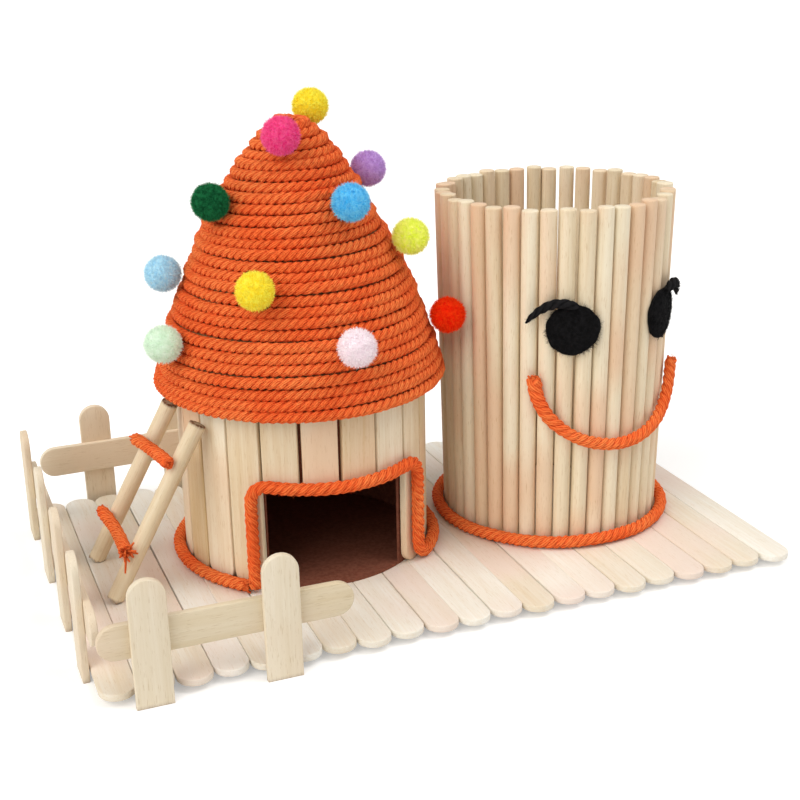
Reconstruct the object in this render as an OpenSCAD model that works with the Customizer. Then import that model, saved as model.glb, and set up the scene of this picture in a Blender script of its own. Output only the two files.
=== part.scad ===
// Craft-stick play scene: a raft of craft sticks carries a round stick hut with a rope-wound
// lift-off roof and pompoms, a dowel ladder, picket fences, and a smiling dowel pen pot.
// Millimetres, +Z up, the long side of the raft along X, the door and the smile towards -Y.
// The origin is under the middle of the whole piece, on the surface that it stands on.

/* [Craft sticks] */
// Length of a whole craft stick
stick_len = 130; // [108:1:160]
// Width of a craft stick
stick_w = 9.8; // [8:0.1:12]
// Thickness of a craft stick
stick_t = 2; // [1.6:0.1:2.4]
// Glue line between neighbouring pieces
glue_gap = 0.2; // [0.1:0.05:0.3]
// How far a stick of the deck may be pushed out of line
deck_shuffle = 0.5; // [0:0.1:0.8]

/* [Hut] */
// Distance from the hut's axis to the outer faces of its wall sticks
hut_r = 37.4; // [30:0.1:46]
// Height of the wall sticks above the deck
wall_h = 61.7; // [50:0.1:76]
// Free deck to the left of the hut, where the ladder stands
hut_left_space = 39.6; // [34:0.1:50]
// How far the hut stands behind the middle of the deck
hut_back_shift = 5.3; // [0:0.1:8]
// Arc of the wall that the doorway takes, in degrees
door_arc = 70; // [50:1:90]
// Direction that the doorway faces, in degrees
door_dir = -91; // [-110:1:-70]
// Height of the doorway above the deck
door_h = 32.5; // [24:0.1:40]
// Thickness of the card cup inside the wall
liner_t = 0.8; // [0.6:0.1:1.2]

/* [Roof] */
// How far the card cone stands out past the wall at its rim
eave_out = 2.8; // [2:0.1:4]
// Height of the card cone
cone_h = 76.2; // [60:1:95]
// Thickness of the card cone
cone_t = 0.6; // [0.5:0.1:1]
// Running gap between the cone and the top of the wall
seat_gap = 0.3; // [0.2:0.05:0.5]
// Distance between neighbouring turns of the winding
turn_pitch = 3.2; // [3:0.05:3.35]
// Radius of a pompom
pompom_r = 5.3; // [4:0.1:6.5]
// Gap between a pompom and the winding that it is glued to
pompom_gap = 0.25; // [0.2:0.05:0.4]

/* [Rope and dowels] */
// Diameter of the twisted rope
rope_d = 3.4; // [3.4:0.1:4.2]
// Gap between a rope and what it is glued to
rope_gap = 0.15; // [0.1:0.05:0.3]
// Diameter of the round dowels
dowel_d = 5; // [4:0.1:6]

/* [Ladder] */
// Distance of the rail feet from the left edge of the deck
ladder_foot_x = 12.7; // [9:0.1:16]
// Distance between the two rail feet
ladder_foot_gap = 29.5; // [22:0.1:36]

/* [Pen pot] */
// Radius of the circle that the dowels stand on
pot_r = 32.1; // [26:0.1:39]
// Length of a pot dowel
pot_h = 105; // [85:1:126]
// How far each dowel leans out, in degrees
pot_lean = 1.3; // [0.5:0.1:2]
// How much the dowels differ in length
pot_uneven = 0.4; // [0:0.1:1]
// Free deck between the hut's wall and the pot
hut_pot_gap = 10.1; // [8:0.1:16]
// Free deck to the right of the pot
pot_right_space = 15.6; // [8:0.1:20]
// Direction that the face looks in, in degrees
face_dir = -81; // [-100:1:-70]
// Radius of a felt eye
eye_r = 7.2; // [5:0.1:8.5]
// Height of the eyes above the deck
eye_z = 70; // [60:1:80]
// Thickness of the felt
felt_t = 1.5; // [1:0.1:2]

/* [Fences] */
// Height of a picket above the floor
picket_h = 36; // [30:1:43]
// Height of the rails above the deck
rail_z = 10; // [8:0.5:13]
// Length of the front and back rails
short_rail_len = 68; // [58:1:80]
// Length of the left rail
long_rail_len = 118; // [100:1:124]

/* [Hidden] */
// Pompoms: name, direction from the roof's axis in degrees, height above the rim, colour.
POMPOMS = [
    ["yellow_top", 41, 74, "#fce62b"], ["magenta", 244, 70, "#e8338f"],
    ["purple", 12, 56, "#a877d0"], ["dark_green", 198, 53, "#0b5b33"],
    ["sky_blue", 288, 53, "#4fa8e8"], ["lime", 328, 40.5, "#d8f53c"],
    ["pale_blue", 171, 31.5, "#9bd0f0"], ["yellow_low", 236, 33.5, "#fce62b"],
    ["red", 336, 16.5, "#f0350e"], ["pale_pink", 274, 18.5, "#f8dde8"],
    ["mint", 195, 16.5, "#bfefd3"], ["back_red", 50, 42, "#f0350e"],
    ["back_sky", 66, 18, "#4fa8e8"], ["back_pink", 78, 58, "#e8338f"],
    ["back_yellow", 106, 34, "#fce62b"], ["back_lime", 100, 12, "#d8f53c"]
];

// Fine facets for exact round pieces, and the sides of a swept rope
$fn = 48;
rope_sides = 8;

// Heights
batten_top = stick_t;
deck_top = batten_top + stick_t;

// Deck: as many sticks as the hut, the pot and their free spaces need
pitch = stick_w + glue_gap;
hut_corner_r = norm([hut_r, stick_w / 2]);
pot_skin_r = pot_r + dowel_d / 2;
deck_need = hut_left_space + 2 * hut_corner_r + hut_pot_gap + 2 * pot_skin_r + pot_right_space;
deck_n = ceil((deck_need - 0.5) / pitch);
deck_w = deck_n * pitch;

// Places on the deck, from its left edge and its front tips
hut_x = hut_left_space + hut_corner_r;
hut_y = stick_len / 2 + hut_back_shift;
pot_x = hut_x + hut_corner_r + hut_pot_gap + pot_skin_r;
pot_y = stick_len / 2;

// Fence planes: each rail stands over the edge of the deck, its pickets just outside
fence_clear = 0.2;
front_face = -deck_shuffle - fence_clear;
back_face = stick_len + deck_shuffle + fence_clear;
left_face = -fence_clear;
rail_seam = 0.05;
picket_out = stick_t + rail_seam;
back_rail_x = 4;

// Middles of the pickets along each fence, from the left or the front end of the deck
front_pickets = [13.3, 47.8];
back_pickets = [23.2, 50.5];
left_pickets = [21, 51, 83, stick_len - 14];

// Middle of the whole piece, which becomes the origin
mid_x = (left_face - picket_out + deck_w) / 2;
mid_y = (front_face + back_face) / 2;

// Battens under the deck
batten_inset = 4;
batten_len = (deck_w - 2 * batten_inset - glue_gap) / 2;
batten_edge = 17;

// Hut wall: the arc that one stick takes, and how many fit beside and over the doorway
wall_in_r = hut_r - stick_t;
wall_arc = 2 * atan(pitch / 2 / wall_in_r);
wall_n = floor((360 - door_arc) / wall_arc);
wall_step = (360 - door_arc) / wall_n;
lintel_n = floor(door_arc / wall_arc);
lintel_step = door_arc / lintel_n;
liner_r = wall_in_r - rope_gap;
liner_below_top = 4;
liner_h = wall_h - liner_below_top;

// Rope on the hut: its centre line runs on a circle just outside the wall
trim_r = hut_corner_r + rope_gap + rope_d / 2;
trim_z = rope_d / 2 + rope_gap;
trim_left = door_dir - door_arc / 2 - 4;
trim_right = door_dir + door_arc / 2 + 6;
trim_bend = 4;
trim_sag = 1;
trim_over_edge = 0.4;
trim_top = door_h + rope_d / 2 - trim_over_edge;
trim_end_gap = 6;

// Card cone: its outer radius at a height above the rim, from a blunt bell-shaped curve
cone_rim_r = hut_corner_r + eave_out;
cone_power = 1.2;
cone_blunt = 0.7;
function cone_r(h) = cone_rim_r * pow(1 - pow(min(h / cone_h, 1), cone_power), cone_blunt);
cone_steps = 60;
cone_curve = [for (i = [0:cone_steps]) let (h = cone_h * sin(90 * i / cone_steps)) [cone_r(h), h]];
function run_len(c, i) = i == 0 ? 0 : run_len(c, i - 1) + norm(c[i] - c[i - 1]);
cone_dir = [for (i = [0:cone_steps])
    let (d = cone_curve[min(i + 1, cone_steps)] - cone_curve[max(i - 1, 0)]) [d[1], -d[0]] / norm(d)];

// Centre line of the winding, square out from the cone, and places along it
turn_lift = rope_gap + rope_d / 2;
turn_curve = [for (i = [0:cone_steps]) cone_curve[i] + turn_lift * cone_dir[i]];
turn_run = [for (i = [0:cone_steps]) run_len(turn_curve, i)];
function along_turns(s, k) = lookup(s, [for (i = [0:cone_steps]) [turn_run[i], turn_curve[i][k]]]);
turn_n = floor((turn_run[cone_steps] - rope_d) / turn_pitch);

// The roof sits where the inside of its cone meets the top corners of the wall
seat_r = hut_corner_r + seat_gap + cone_t;
seat_depth = cone_h * pow(1 - pow(seat_r / cone_rim_r, 1 / cone_blunt), 1 / cone_power);
rim_z = deck_top + wall_h - seat_depth;
cone_open_h = cone_h - 2;

// Ladder
rail_foot_shift = 4.5;
front_top_drop = 4;
rear_top_drop = 2.3;
bar_seam_turn = 50;
ladder_front_foot = [ladder_foot_x, hut_y - rail_foot_shift - ladder_foot_gap / 2, deck_top];
ladder_rear_foot = [ladder_foot_x, hut_y - rail_foot_shift + ladder_foot_gap / 2, deck_top];
ladder_top_r = hut_corner_r + dowel_d / 2 + rope_gap;
ladder_front_dir = -154;
ladder_rear_dir = -178;
ladder_front_top = hut_point(ladder_top_r, ladder_front_dir, rim_z - front_top_drop);
ladder_rear_top = hut_point(ladder_top_r, ladder_rear_dir, rim_z - rear_top_drop);
rung_over = 2;

// How far up the rear and the front rail each rung crosses, as shares of their length
upper_rung = [0.74, 0.77];
lower_rung = [0.28, 0.28];
rung_lift = dowel_d / 2 + rope_gap + rope_d / 2;

// Pot
pot_n = floor(180 / asin((dowel_d + rope_gap) / 2 / pot_r));
dowel_lift = dowel_d / 2 * sin(pot_lean);
function pot_skin(z) = pot_skin_r + z * tan(pot_lean);
smile_arc = 44;
smile_depth = 22;
smile_top = 55;
smile_sweep = 172;
smile_points = 20;
eye_arc = 27;

// Lashes: where they start beside the eye, their steps round the pot, and their rise and droop
lash_d = 2;
lash_points = 7;
lash_start = 3;
lash_step = 2.6;
lash_rise = 0.8;
lash_droop = 0.13;

// Small pseudo-random shuffle, the same on every run
function shuffle(i, size) = size * sin(i * 137 + 40);

function hut_point(r, a, z) = [hut_x + r * cos(a), hut_y + r * sin(a), z];
function pot_point(r, a, z) = [pot_x + r * cos(a), pot_y + r * sin(a), z];
function unit(v) = v / norm(v);

// Moves a piece from deck places to the origin under the middle
module on_deck() {
    translate([-mid_x, -mid_y, 0]) children();
}

// A flat craft stick along +Y, with round ends where they are asked for
module stick(len, round_start = true, round_end = true) {
    r = stick_w / 2;
    linear_extrude(stick_t) {
        union() {
            translate([-r, round_start ? r : 0])
                square([stick_w, len - (round_start ? r : 0) - (round_end ? r : 0)]);
            if (round_start) translate([0, r]) circle(r);
            if (round_end) translate([0, len - r]) circle(r);
        }
    }
}

// A stick set upright on the floor at the origin, its flat face towards -Y
module upright_stick(len, round_foot = false) {
    rotate([90, 0, 0]) translate([0, 0, -stick_t]) stick(len, round_foot, !round_foot);
}

// A rope along a list of centre points; up[i] is a direction roughly square to the path there
module rope(points, up, d) {
    n = len(points);
    rings = [for (i = [0:n - 1])
        let (t = unit(points[min(i + 1, n - 1)] - points[max(i - 1, 0)]))
        let (u = unit(up[i] - (up[i] * t) * t))
        let (v = cross(t, u))
        for (k = [0:rope_sides - 1])
            let (a = 360 * (k + 0.5) / rope_sides)
            points[i] + d / 2 * (cos(a) * u + sin(a) * v)];
    sides = [for (i = [0:n - 2], k = [0:rope_sides - 1])
        let (k2 = (k + 1) % rope_sides)
        [i * rope_sides + k, (i + 1) * rope_sides + k, (i + 1) * rope_sides + k2, i * rope_sides + k2]];
    first = [for (k = [0:rope_sides - 1]) k];
    last = [for (k = [rope_sides - 1:-1:0]) (n - 1) * rope_sides + k];
    polyhedron(rings, concat(sides, [first, last]), convexity = 6);
}

// A rope whose path is given as [direction, height] round an axis, at a radius
module rope_round(path, centre, radius, d) {
    rope([for (p = path) [centre[0] + radius * cos(p[0]), centre[1] + radius * sin(p[0]), deck_top + p[1]]],
        [for (p = path) [cos(p[0]), sin(p[0]), 0]], d);
}

// A round bar between two points
module bar(a, b, d) {
    v = b - a;
    translate(a) rotate([0, acos(v[2] / norm(v)), atan2(v[1], v[0])])
        rotate([0, 0, bar_seam_turn]) cylinder(h = norm(v), d = d);
}

module batten(y) {
    color("#d8c49c") on_deck() {
        for (side = [0, 1])
            translate([batten_inset + side * (batten_len + glue_gap), y + stick_w / 2, 0])
                rotate([0, 0, -90]) stick(batten_len, side == 0, side == 1);
    }
}

module deck_sticks() {
    color("#ead9b8") on_deck() {
        for (i = [0:deck_n - 1])
            translate([(i + 0.5) * pitch, shuffle(i, deck_shuffle), batten_top]) stick(stick_len);
    }
}

// A rail lying on edge along +X, its flat faces towards -Y and +Y
module rail(len) {
    translate([0, stick_t, deck_top + rail_z + stick_w / 2])
        rotate([90, 0, 0]) rotate([0, 0, -90]) stick(len);
}

module front_rail() {
    color("#e6d3ae") on_deck() translate([0, front_face, 0]) rail(short_rail_len);
}

module front_picket(x) {
    color("#e9d8b6") on_deck() translate([x, front_face - picket_out, 0]) upright_stick(picket_h);
}

module back_rail() {
    color("#dcc296") on_deck() translate([back_rail_x, back_face - stick_t, 0]) rail(short_rail_len);
}

module back_picket(x) {
    color("#d9bd8e") on_deck() translate([x, back_face + rail_seam, 0]) upright_stick(picket_h);
}

module left_rail() {
    color("#e0cba2") on_deck()
        translate([left_face + stick_t, (stick_len - long_rail_len) / 2, 0])
            rotate([0, 0, 90]) rail(long_rail_len);
}

module left_picket(y) {
    color("#e0cba2") on_deck() translate([left_face - rail_seam, y, 0])
        rotate([0, 0, 90]) upright_stick(picket_h);
}

// A wall stick at a direction from the hut's axis, from one height to another above the deck
module wall_stick(a, low, high) {
    translate([hut_x, hut_y, deck_top + low]) rotate([0, 0, a + 90])
        translate([0, -hut_r, 0]) upright_stick(high - low, low == 0);
}

module hut_wall_sticks() {
    color("#e3cda4") on_deck() {
        for (i = [0:wall_n - 1])
            wall_stick(door_dir + door_arc / 2 + (i + 0.5) * wall_step, 0, wall_h);
    }
}

module hut_lintel_sticks() {
    color("#dcc6a0") on_deck() {
        for (i = [0:lintel_n - 1])
            translate([hut_x, hut_y, deck_top + door_h])
                rotate([0, 0, door_dir - door_arc / 2 + (i + 0.5) * lintel_step + 90])
                    translate([-stick_w / 2, -hut_r, 0]) cube([stick_w, stick_t, wall_h - door_h]);
    }
}

// A card cup inside the wall: a floor and a tube, with the doorway cut out of the tube
module hut_liner() {
    inner_r = liner_r - liner_t;
    profile = [[0, 0], [liner_r, 0], [liner_r, liner_h], [inner_r, liner_h], [inner_r, liner_t], [0, liner_t]];
    color("#3a1d15") on_deck() translate([hut_x, hut_y, deck_top]) difference() {
        rotate_extrude() polygon(profile);
        rotate([0, 0, door_dir - door_arc / 2]) rotate_extrude(angle = door_arc)
            translate([inner_r - liner_t, liner_t]) square([3 * liner_t, door_h - liner_t]);
    }
}

// Step k of four round a bend of the trim, which starts upright at a direction and a height
function trim_corner(k, dir, height, turn, rise) =
    [dir + turn * (1 - cos(22.5 * k)), height + rise * sin(22.5 * k)];

// One rope: up the left of the doorway, over it, down the right and round the foot of the wall
module hut_rope() {
    turn = trim_bend / trim_r * 180 / PI;
    shoulder = trim_top - trim_bend;
    up_left = [for (k = [0:5]) [trim_left, trim_z + (shoulder - trim_z) * k / 5]];
    turn_left = [for (k = [1:3]) trim_corner(k, trim_left, shoulder, turn, trim_bend)];
    across_from = trim_left + turn;
    across_to = trim_right - turn;
    over = [for (k = [0:12])
        [across_from + (across_to - across_from) * k / 12, trim_top - trim_sag * sin(180 * k / 12)]];
    turn_right = [for (k = [3:-1:1]) trim_corner(k, trim_right, shoulder, -turn, trim_bend)];
    ankle = trim_z + trim_bend;
    down_right = [for (k = [5:-1:1]) [trim_right, ankle + (shoulder - ankle) * k / 5]];
    turn_foot = [for (k = [0:3]) trim_corner(k, trim_right, ankle, turn, -trim_bend)];
    round_from = trim_right + turn;
    round_to = 360 + trim_left - trim_end_gap;
    base = [for (k = [0:28]) [round_from + (round_to - round_from) * k / 28, trim_z]];
    path = concat(up_left, turn_left, over, turn_right, down_right, turn_foot, base);
    color("#f2641c") on_deck() rope_round(path, [hut_x, hut_y], trim_r, rope_d);
}

// A ladder rail, cut flat where it stands on the deck
module ladder_rail(foot, top) {
    sink = unit(foot - top) * dowel_d;
    color("#dfcaa6") on_deck() difference() {
        bar(foot + sink, top, dowel_d);
        translate([0, 0, deck_top - wall_h]) cube([deck_w, stick_len, wall_h]);
    }
}

// A rope rung across both rails, at a share of the way up each of them
module ladder_rung(shares) {
    rear = ladder_rear_foot + shares[0] * (ladder_rear_top - ladder_rear_foot);
    front = ladder_front_foot + shares[1] * (ladder_front_top - ladder_front_foot);
    along = unit(front - rear);
    out = unit(cross(along, ladder_front_foot - ladder_front_top));
    lift = rung_lift * (out[2] > 0 ? out : -out);
    color("#f2641c") on_deck()
        bar(rear - rung_over * along + lift, front + rung_over * along + lift, rope_d);
}

module pot_dowels() {
    color("#e8d6b2") on_deck() translate([pot_x, pot_y, deck_top]) {
        for (i = [0:pot_n - 1])
            rotate([0, 0, 360 * i / pot_n]) translate([pot_r, 0, dowel_lift]) rotate([0, pot_lean, 0])
                cylinder(h = pot_h + shuffle(i, pot_uneven), d = dowel_d);
    }
}

module pot_base_rope() {
    color("#f2641c") on_deck() translate([pot_x, pot_y, deck_top + trim_z])
        rotate_extrude() translate([pot_skin(rope_d) + rope_gap + rope_d / 2, 0]) circle(d = rope_d);
}

module smile_rope() {
    path = [for (k = [0:smile_points]) let (t = 180 + smile_sweep * k / smile_points)
        [face_dir + smile_arc * cos(t), smile_top + smile_depth * sin(t)]];
    color("#f2641c") on_deck() rope([for (p = path)
            pot_point(pot_skin(p[1]) + rope_gap + rope_d / 2, p[0], deck_top + p[1])],
        [for (p = path) [cos(p[0]), sin(p[0]), 0]], rope_d);
}

// A felt disc that follows the round of the pot
module eye(a) {
    inner = pot_skin(eye_z + eye_r) + rope_gap;
    color("#141414") on_deck() translate([pot_x, pot_y, deck_top + eye_z]) intersection() {
        rotate([0, 0, a]) rotate([0, 90, 0]) cylinder(h = inner + 2 * felt_t, r = eye_r);
        difference() {
            translate([0, 0, -eye_r - 1]) cylinder(h = 2 * eye_r + 2, r = inner + felt_t);
            translate([0, 0, -eye_r - 2]) cylinder(h = 2 * eye_r + 4, r = inner);
        }
    }
}

// A strand of black yarn from the top of an eye outwards; side is -1 or 1
module lash(a, side) {
    start = eye_r + rope_gap + lash_d / 2;
    path = [for (k = [0:lash_points]) [
        a + side * (lash_start + lash_step * k),
        start + lash_rise * sin(180 * k / lash_points) - lash_droop * k * k]];
    color("#141414") on_deck() rope([for (p = path)
            pot_point(pot_skin(eye_z + start) + rope_gap + lash_d, p[0], deck_top + eye_z + p[1])],
        [for (p = path) [cos(p[0]), sin(p[0]), 0]], lash_d);
}

module roof_cone() {
    outer = [for (p = cone_curve) if (p[1] < cone_open_h) p];
    inner = [for (i = [len(outer) - 1:-1:0]) [outer[i][0] - cone_t, outer[i][1]]];
    color("#c9a87a") on_deck() translate([hut_x, hut_y, rim_z])
        rotate_extrude() polygon(concat(outer, inner));
}

module roof_rope() {
    color("#f2641c") on_deck() translate([hut_x, hut_y, rim_z]) rotate_extrude() union() {
        for (k = [0:turn_n]) {
            s = rope_d / 2 + k * turn_pitch;
            intersection() {
                translate([along_turns(s, 0), along_turns(s, 1)]) circle(d = rope_d, $fn = 32);
                translate([0, -rope_d]) square([2 * cone_rim_r, 2 * cone_h]);
            }
        }
    }
}

// A pompom on the winding at a height above the rim, square out from the cone
module pompom(dir, h, colour) {
    i = round(lookup(h, [for (k = [0:cone_steps]) [turn_curve[k][1], k]]));
    c = turn_curve[i] + (rope_d / 2 + pompom_gap + pompom_r) * cone_dir[i];
    color(colour) on_deck() translate(hut_point(c[0], dir, rim_z + c[1])) sphere(pompom_r);
}

batten(batten_edge);  // batten_front
batten((stick_len - stick_w) / 2);  // batten_middle
batten(stick_len - batten_edge - stick_w);  // batten_back
deck_sticks();
front_rail();
front_picket(front_pickets[0]);  // front_picket_1
front_picket(front_pickets[1]);  // front_picket_2
left_rail();
left_picket(left_pickets[0]);  // left_picket_1
left_picket(left_pickets[1]);  // left_picket_2
left_picket(left_pickets[2]);  // left_picket_3
left_picket(left_pickets[3]);  // left_picket_4
back_rail();
back_picket(back_pickets[0]);  // back_picket_1
back_picket(back_pickets[1]);  // back_picket_2
hut_wall_sticks();
hut_lintel_sticks();
hut_liner();
hut_rope();
ladder_rail(ladder_front_foot, ladder_front_top);  // ladder_rail_front
ladder_rail(ladder_rear_foot, ladder_rear_top);  // ladder_rail_rear
ladder_rung(upper_rung);  // ladder_rung_upper
ladder_rung(lower_rung);  // ladder_rung_lower
pot_dowels();
pot_base_rope();
smile_rope();
eye(face_dir - eye_arc);  // eye_left
eye(face_dir + eye_arc);  // eye_right
lash(face_dir - eye_arc, -1);  // lash_left
lash(face_dir + eye_arc, 1);  // lash_right
roof_cone();
roof_rope();
for (p = POMPOMS) pompom(p[1], p[2], p[3]);
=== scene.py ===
# %% [markdown]
# # A craft-stick hut with a rope roof, a ladder, fences and a smiling pen pot
# This lesson dresses a finished construction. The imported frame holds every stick, dowel, rope
# and pompom as a plain solid. Here each one gets the surface that the real material has: wood
# with grain and softened edges, rope that is truly twisted from strands, fluffy pompoms and
# fibrous felt. Everything is in metres and in the frame's own places.

# %% Load the frame
import math

import bpy
import numpy as np
from mathutils import Matrix, Vector


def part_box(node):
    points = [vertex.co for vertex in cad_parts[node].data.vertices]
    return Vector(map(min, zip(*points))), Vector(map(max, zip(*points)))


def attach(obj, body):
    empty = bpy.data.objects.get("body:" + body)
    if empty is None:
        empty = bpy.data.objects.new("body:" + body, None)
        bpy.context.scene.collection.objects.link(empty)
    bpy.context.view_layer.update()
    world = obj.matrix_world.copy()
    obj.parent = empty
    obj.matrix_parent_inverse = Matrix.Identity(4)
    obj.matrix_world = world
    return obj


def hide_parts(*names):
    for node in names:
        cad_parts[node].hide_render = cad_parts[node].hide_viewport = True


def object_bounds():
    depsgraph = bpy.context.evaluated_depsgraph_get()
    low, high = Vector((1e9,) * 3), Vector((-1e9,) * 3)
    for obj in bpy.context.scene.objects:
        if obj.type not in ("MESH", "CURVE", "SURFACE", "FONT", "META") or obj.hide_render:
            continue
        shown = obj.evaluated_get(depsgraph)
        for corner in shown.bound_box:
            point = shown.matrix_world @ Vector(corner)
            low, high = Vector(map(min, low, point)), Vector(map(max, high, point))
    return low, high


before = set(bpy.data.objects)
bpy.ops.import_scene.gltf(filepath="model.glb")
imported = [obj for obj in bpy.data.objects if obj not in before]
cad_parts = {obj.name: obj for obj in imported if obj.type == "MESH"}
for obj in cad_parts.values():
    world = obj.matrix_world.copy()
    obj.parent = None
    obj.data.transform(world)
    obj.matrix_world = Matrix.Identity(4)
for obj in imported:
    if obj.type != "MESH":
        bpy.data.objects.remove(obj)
cad_low, cad_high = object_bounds()
scene = bpy.context.scene
MM = 0.001
print("frame loaded with", len(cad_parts), "pieces")

# %% [markdown]
# ## Camera
# The view looks down a little at the front left corner, as one looks at a toy on a table. The
# camera is set from three angles and a place, so its matrix is built from plain vectors: one
# along the view, one to the right and one up, then a small roll about the view.

# %% Place the camera
CAMERA_PLACE = Vector((-141.3, -372.5, 189.2)) * MM
CAMERA_YAW = math.radians(21.26)
CAMERA_PITCH = math.radians(19.57)
CAMERA_ROLL = math.radians(-1.07)


def camera_matrix(place, yaw, pitch, roll):
    """The camera's place and its three axes as one matrix."""
    ahead = Vector((math.sin(yaw) * math.cos(pitch), math.cos(yaw) * math.cos(pitch), -math.sin(pitch)))
    level = Vector((math.cos(yaw), -math.sin(yaw), 0))
    top = level.cross(ahead)
    right = math.cos(roll) * level + math.sin(roll) * top
    up = math.cos(roll) * top - math.sin(roll) * level
    return Matrix.Translation(place) @ Matrix((right, up, -ahead)).transposed().to_4x4()


camera_data = bpy.data.cameras.new("camera")
camera_data.sensor_width = 36
camera_data.lens = 61.64
camera_data.clip_start = 0.01
camera = bpy.data.objects.new("camera", camera_data)
camera.matrix_world = camera_matrix(CAMERA_PLACE, CAMERA_YAW, CAMERA_PITCH, CAMERA_ROLL)
scene.collection.objects.link(camera)
scene.camera = camera
print("camera at", [round(v, 3) for v in CAMERA_PLACE])

# %% [markdown]
# ## Light, floor and background
# The piece stands on a white table under soft light from the upper right. Two broad lamps and
# an even white surround keep every colour close to the value it is written with. The surround
# and the floor look white to the camera and to reflections by Light Path, which adds no light.

# %% Light the scene
SURROUND_LIGHT = 0.46
scene.view_settings.view_transform = "Standard"


def seen_ray(nodes, links):
    """A value of 1 on camera, glossy and transmission rays, and 0 on the rest."""
    path = nodes.new("ShaderNodeLightPath")
    first = nodes.new("ShaderNodeMath")
    first.operation = "MAXIMUM"
    links.new(path.outputs["Is Camera Ray"], first.inputs[0])
    links.new(path.outputs["Is Glossy Ray"], first.inputs[1])
    both = nodes.new("ShaderNodeMath")
    both.operation = "MAXIMUM"
    links.new(first.outputs[0], both.inputs[0])
    links.new(path.outputs["Is Transmission Ray"], both.inputs[1])
    return both.outputs[0]


def make_surround():
    """White to look at, and a gentler white as light."""
    world = bpy.data.worlds.new("surround")
    world.use_nodes = True
    nodes, links = world.node_tree.nodes, world.node_tree.links
    nodes.clear()
    lighting = nodes.new("ShaderNodeBackground")
    lighting.inputs["Strength"].default_value = SURROUND_LIGHT
    looks = nodes.new("ShaderNodeBackground")
    looks.inputs["Color"].default_value = (1, 1, 1, 1)
    mix = nodes.new("ShaderNodeMixShader")
    output = nodes.new("ShaderNodeOutputWorld")
    lighting.inputs["Color"].default_value = (1.0, 0.99, 0.975, 1)
    links.new(seen_ray(nodes, links), mix.inputs[0])
    links.new(lighting.outputs[0], mix.inputs[1])
    links.new(looks.outputs[0], mix.inputs[2])
    links.new(mix.outputs[0], output.inputs[0])
    scene.world = world


def add_sun(name, towards, strength, softness, colour=(1, 1, 1)):
    """A broad lamp that shines from the direction towards."""
    lamp = bpy.data.lights.new(name, "SUN")
    lamp.energy = strength
    lamp.angle = math.radians(softness)
    lamp.color = colour
    holder = bpy.data.objects.new(name, lamp)
    holder.rotation_mode = "QUATERNION"
    holder.rotation_quaternion = Vector(towards).to_track_quat("Z", "Y")
    scene.collection.objects.link(holder)


make_surround()
add_sun("key_light", (0.7, -0.3, 1.2), 1.15, 35, (1.0, 0.99, 0.98))
add_sun("left_light", (-1.0, -0.45, 0.9), 1.9, 55, (1.0, 0.96, 0.9))

# %% Lay the floor
FLOOR_REACH = 6.0
FLOOR_DROP = 0.02 * MM


def make_floor():
    """A wide white table top just under the piece. It keeps the shadows."""
    mesh = bpy.data.meshes.new("floor")
    reach = FLOOR_REACH
    corners = [(-reach, -reach, 0), (reach, -reach, 0), (reach, reach, 0), (-reach, reach, 0)]
    mesh.from_pydata([(x, y, cad_low.z - FLOOR_DROP) for x, y, _ in corners], [], [(0, 1, 2, 3)])
    floor = bpy.data.objects.new("floor", mesh)
    scene.collection.objects.link(floor)
    material = bpy.data.materials.new("white_table")
    material.use_nodes = True
    nodes, links = material.node_tree.nodes, material.node_tree.links
    shader = nodes["Principled BSDF"]
    shader.inputs["Base Color"].default_value = (0.86, 0.86, 0.86, 1)
    shader.inputs["Roughness"].default_value = 0.9
    shader.inputs["Specular IOR Level"].default_value = 0.0
    lift = nodes.new("ShaderNodeMath")
    lift.operation = "MULTIPLY"
    lift.inputs[1].default_value = 0.3
    links.new(seen_ray(nodes, links), lift.inputs[0])
    shader.inputs["Emission Color"].default_value = (1, 1, 1, 1)
    links.new(lift.outputs[0], shader.inputs["Emission Strength"])
    mesh.materials.append(material)


make_floor()
print("floor at", cad_low.z)

# %% [markdown]
# ## Building meshes from chunks
# Sticks, rope and fluff repeat hundreds of times, so they are made as arrays of points and
# faces rather than by hand. A chunk is one closed bit of surface. Each chunk also carries
# marks: numbers on its points, such as the place along the grain, which the materials read.
# A chunk that came out inside out is turned before it joins the mesh.

# %% Chunks of mesh
rng = np.random.default_rng(7)


def unit(v):
    """Vectors made one unit long, one per row."""
    v = np.asarray(v, float)
    return v / np.maximum(np.linalg.norm(v, axis=-1, keepdims=True), 1e-12)


def chunk(points, faces, wraps=None, **marks):
    """Points, lists of equal-sided faces, their wrap coordinates, and marks on the points."""
    if wraps is None:
        wraps = [np.zeros(f.shape + (2,)) for f in faces]
    return {"points": np.asarray(points, float), "faces": faces, "wraps": wraps, "marks": marks}


def volume_of(part):
    """Signed volume of a closed chunk."""
    total = 0.0
    p = part["points"]
    for f in part["faces"]:
        for k in range(1, f.shape[1] - 1):
            total += np.einsum("ij,ij->", p[f[:, 0]], np.cross(p[f[:, k]], p[f[:, k + 1]]))
    return total


def placed(part, origin, x_way, y_way, z_way):
    """The chunk moved so that its own axes lie along three given ways."""
    axes = np.array([x_way, y_way, z_way], float)
    return {**part, "points": part["points"] @ axes + np.array(origin, float)}


# The lift mark is painted light: low values paint shade, in rope creases and at fibre roots; high values keep
# the full colour or add a painted highlight.
MARK_KINDS = {"grain": "FLOAT_VECTOR", "tint": "FLOAT", "soil": "FLOAT", "lift": "FLOAT"}


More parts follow.
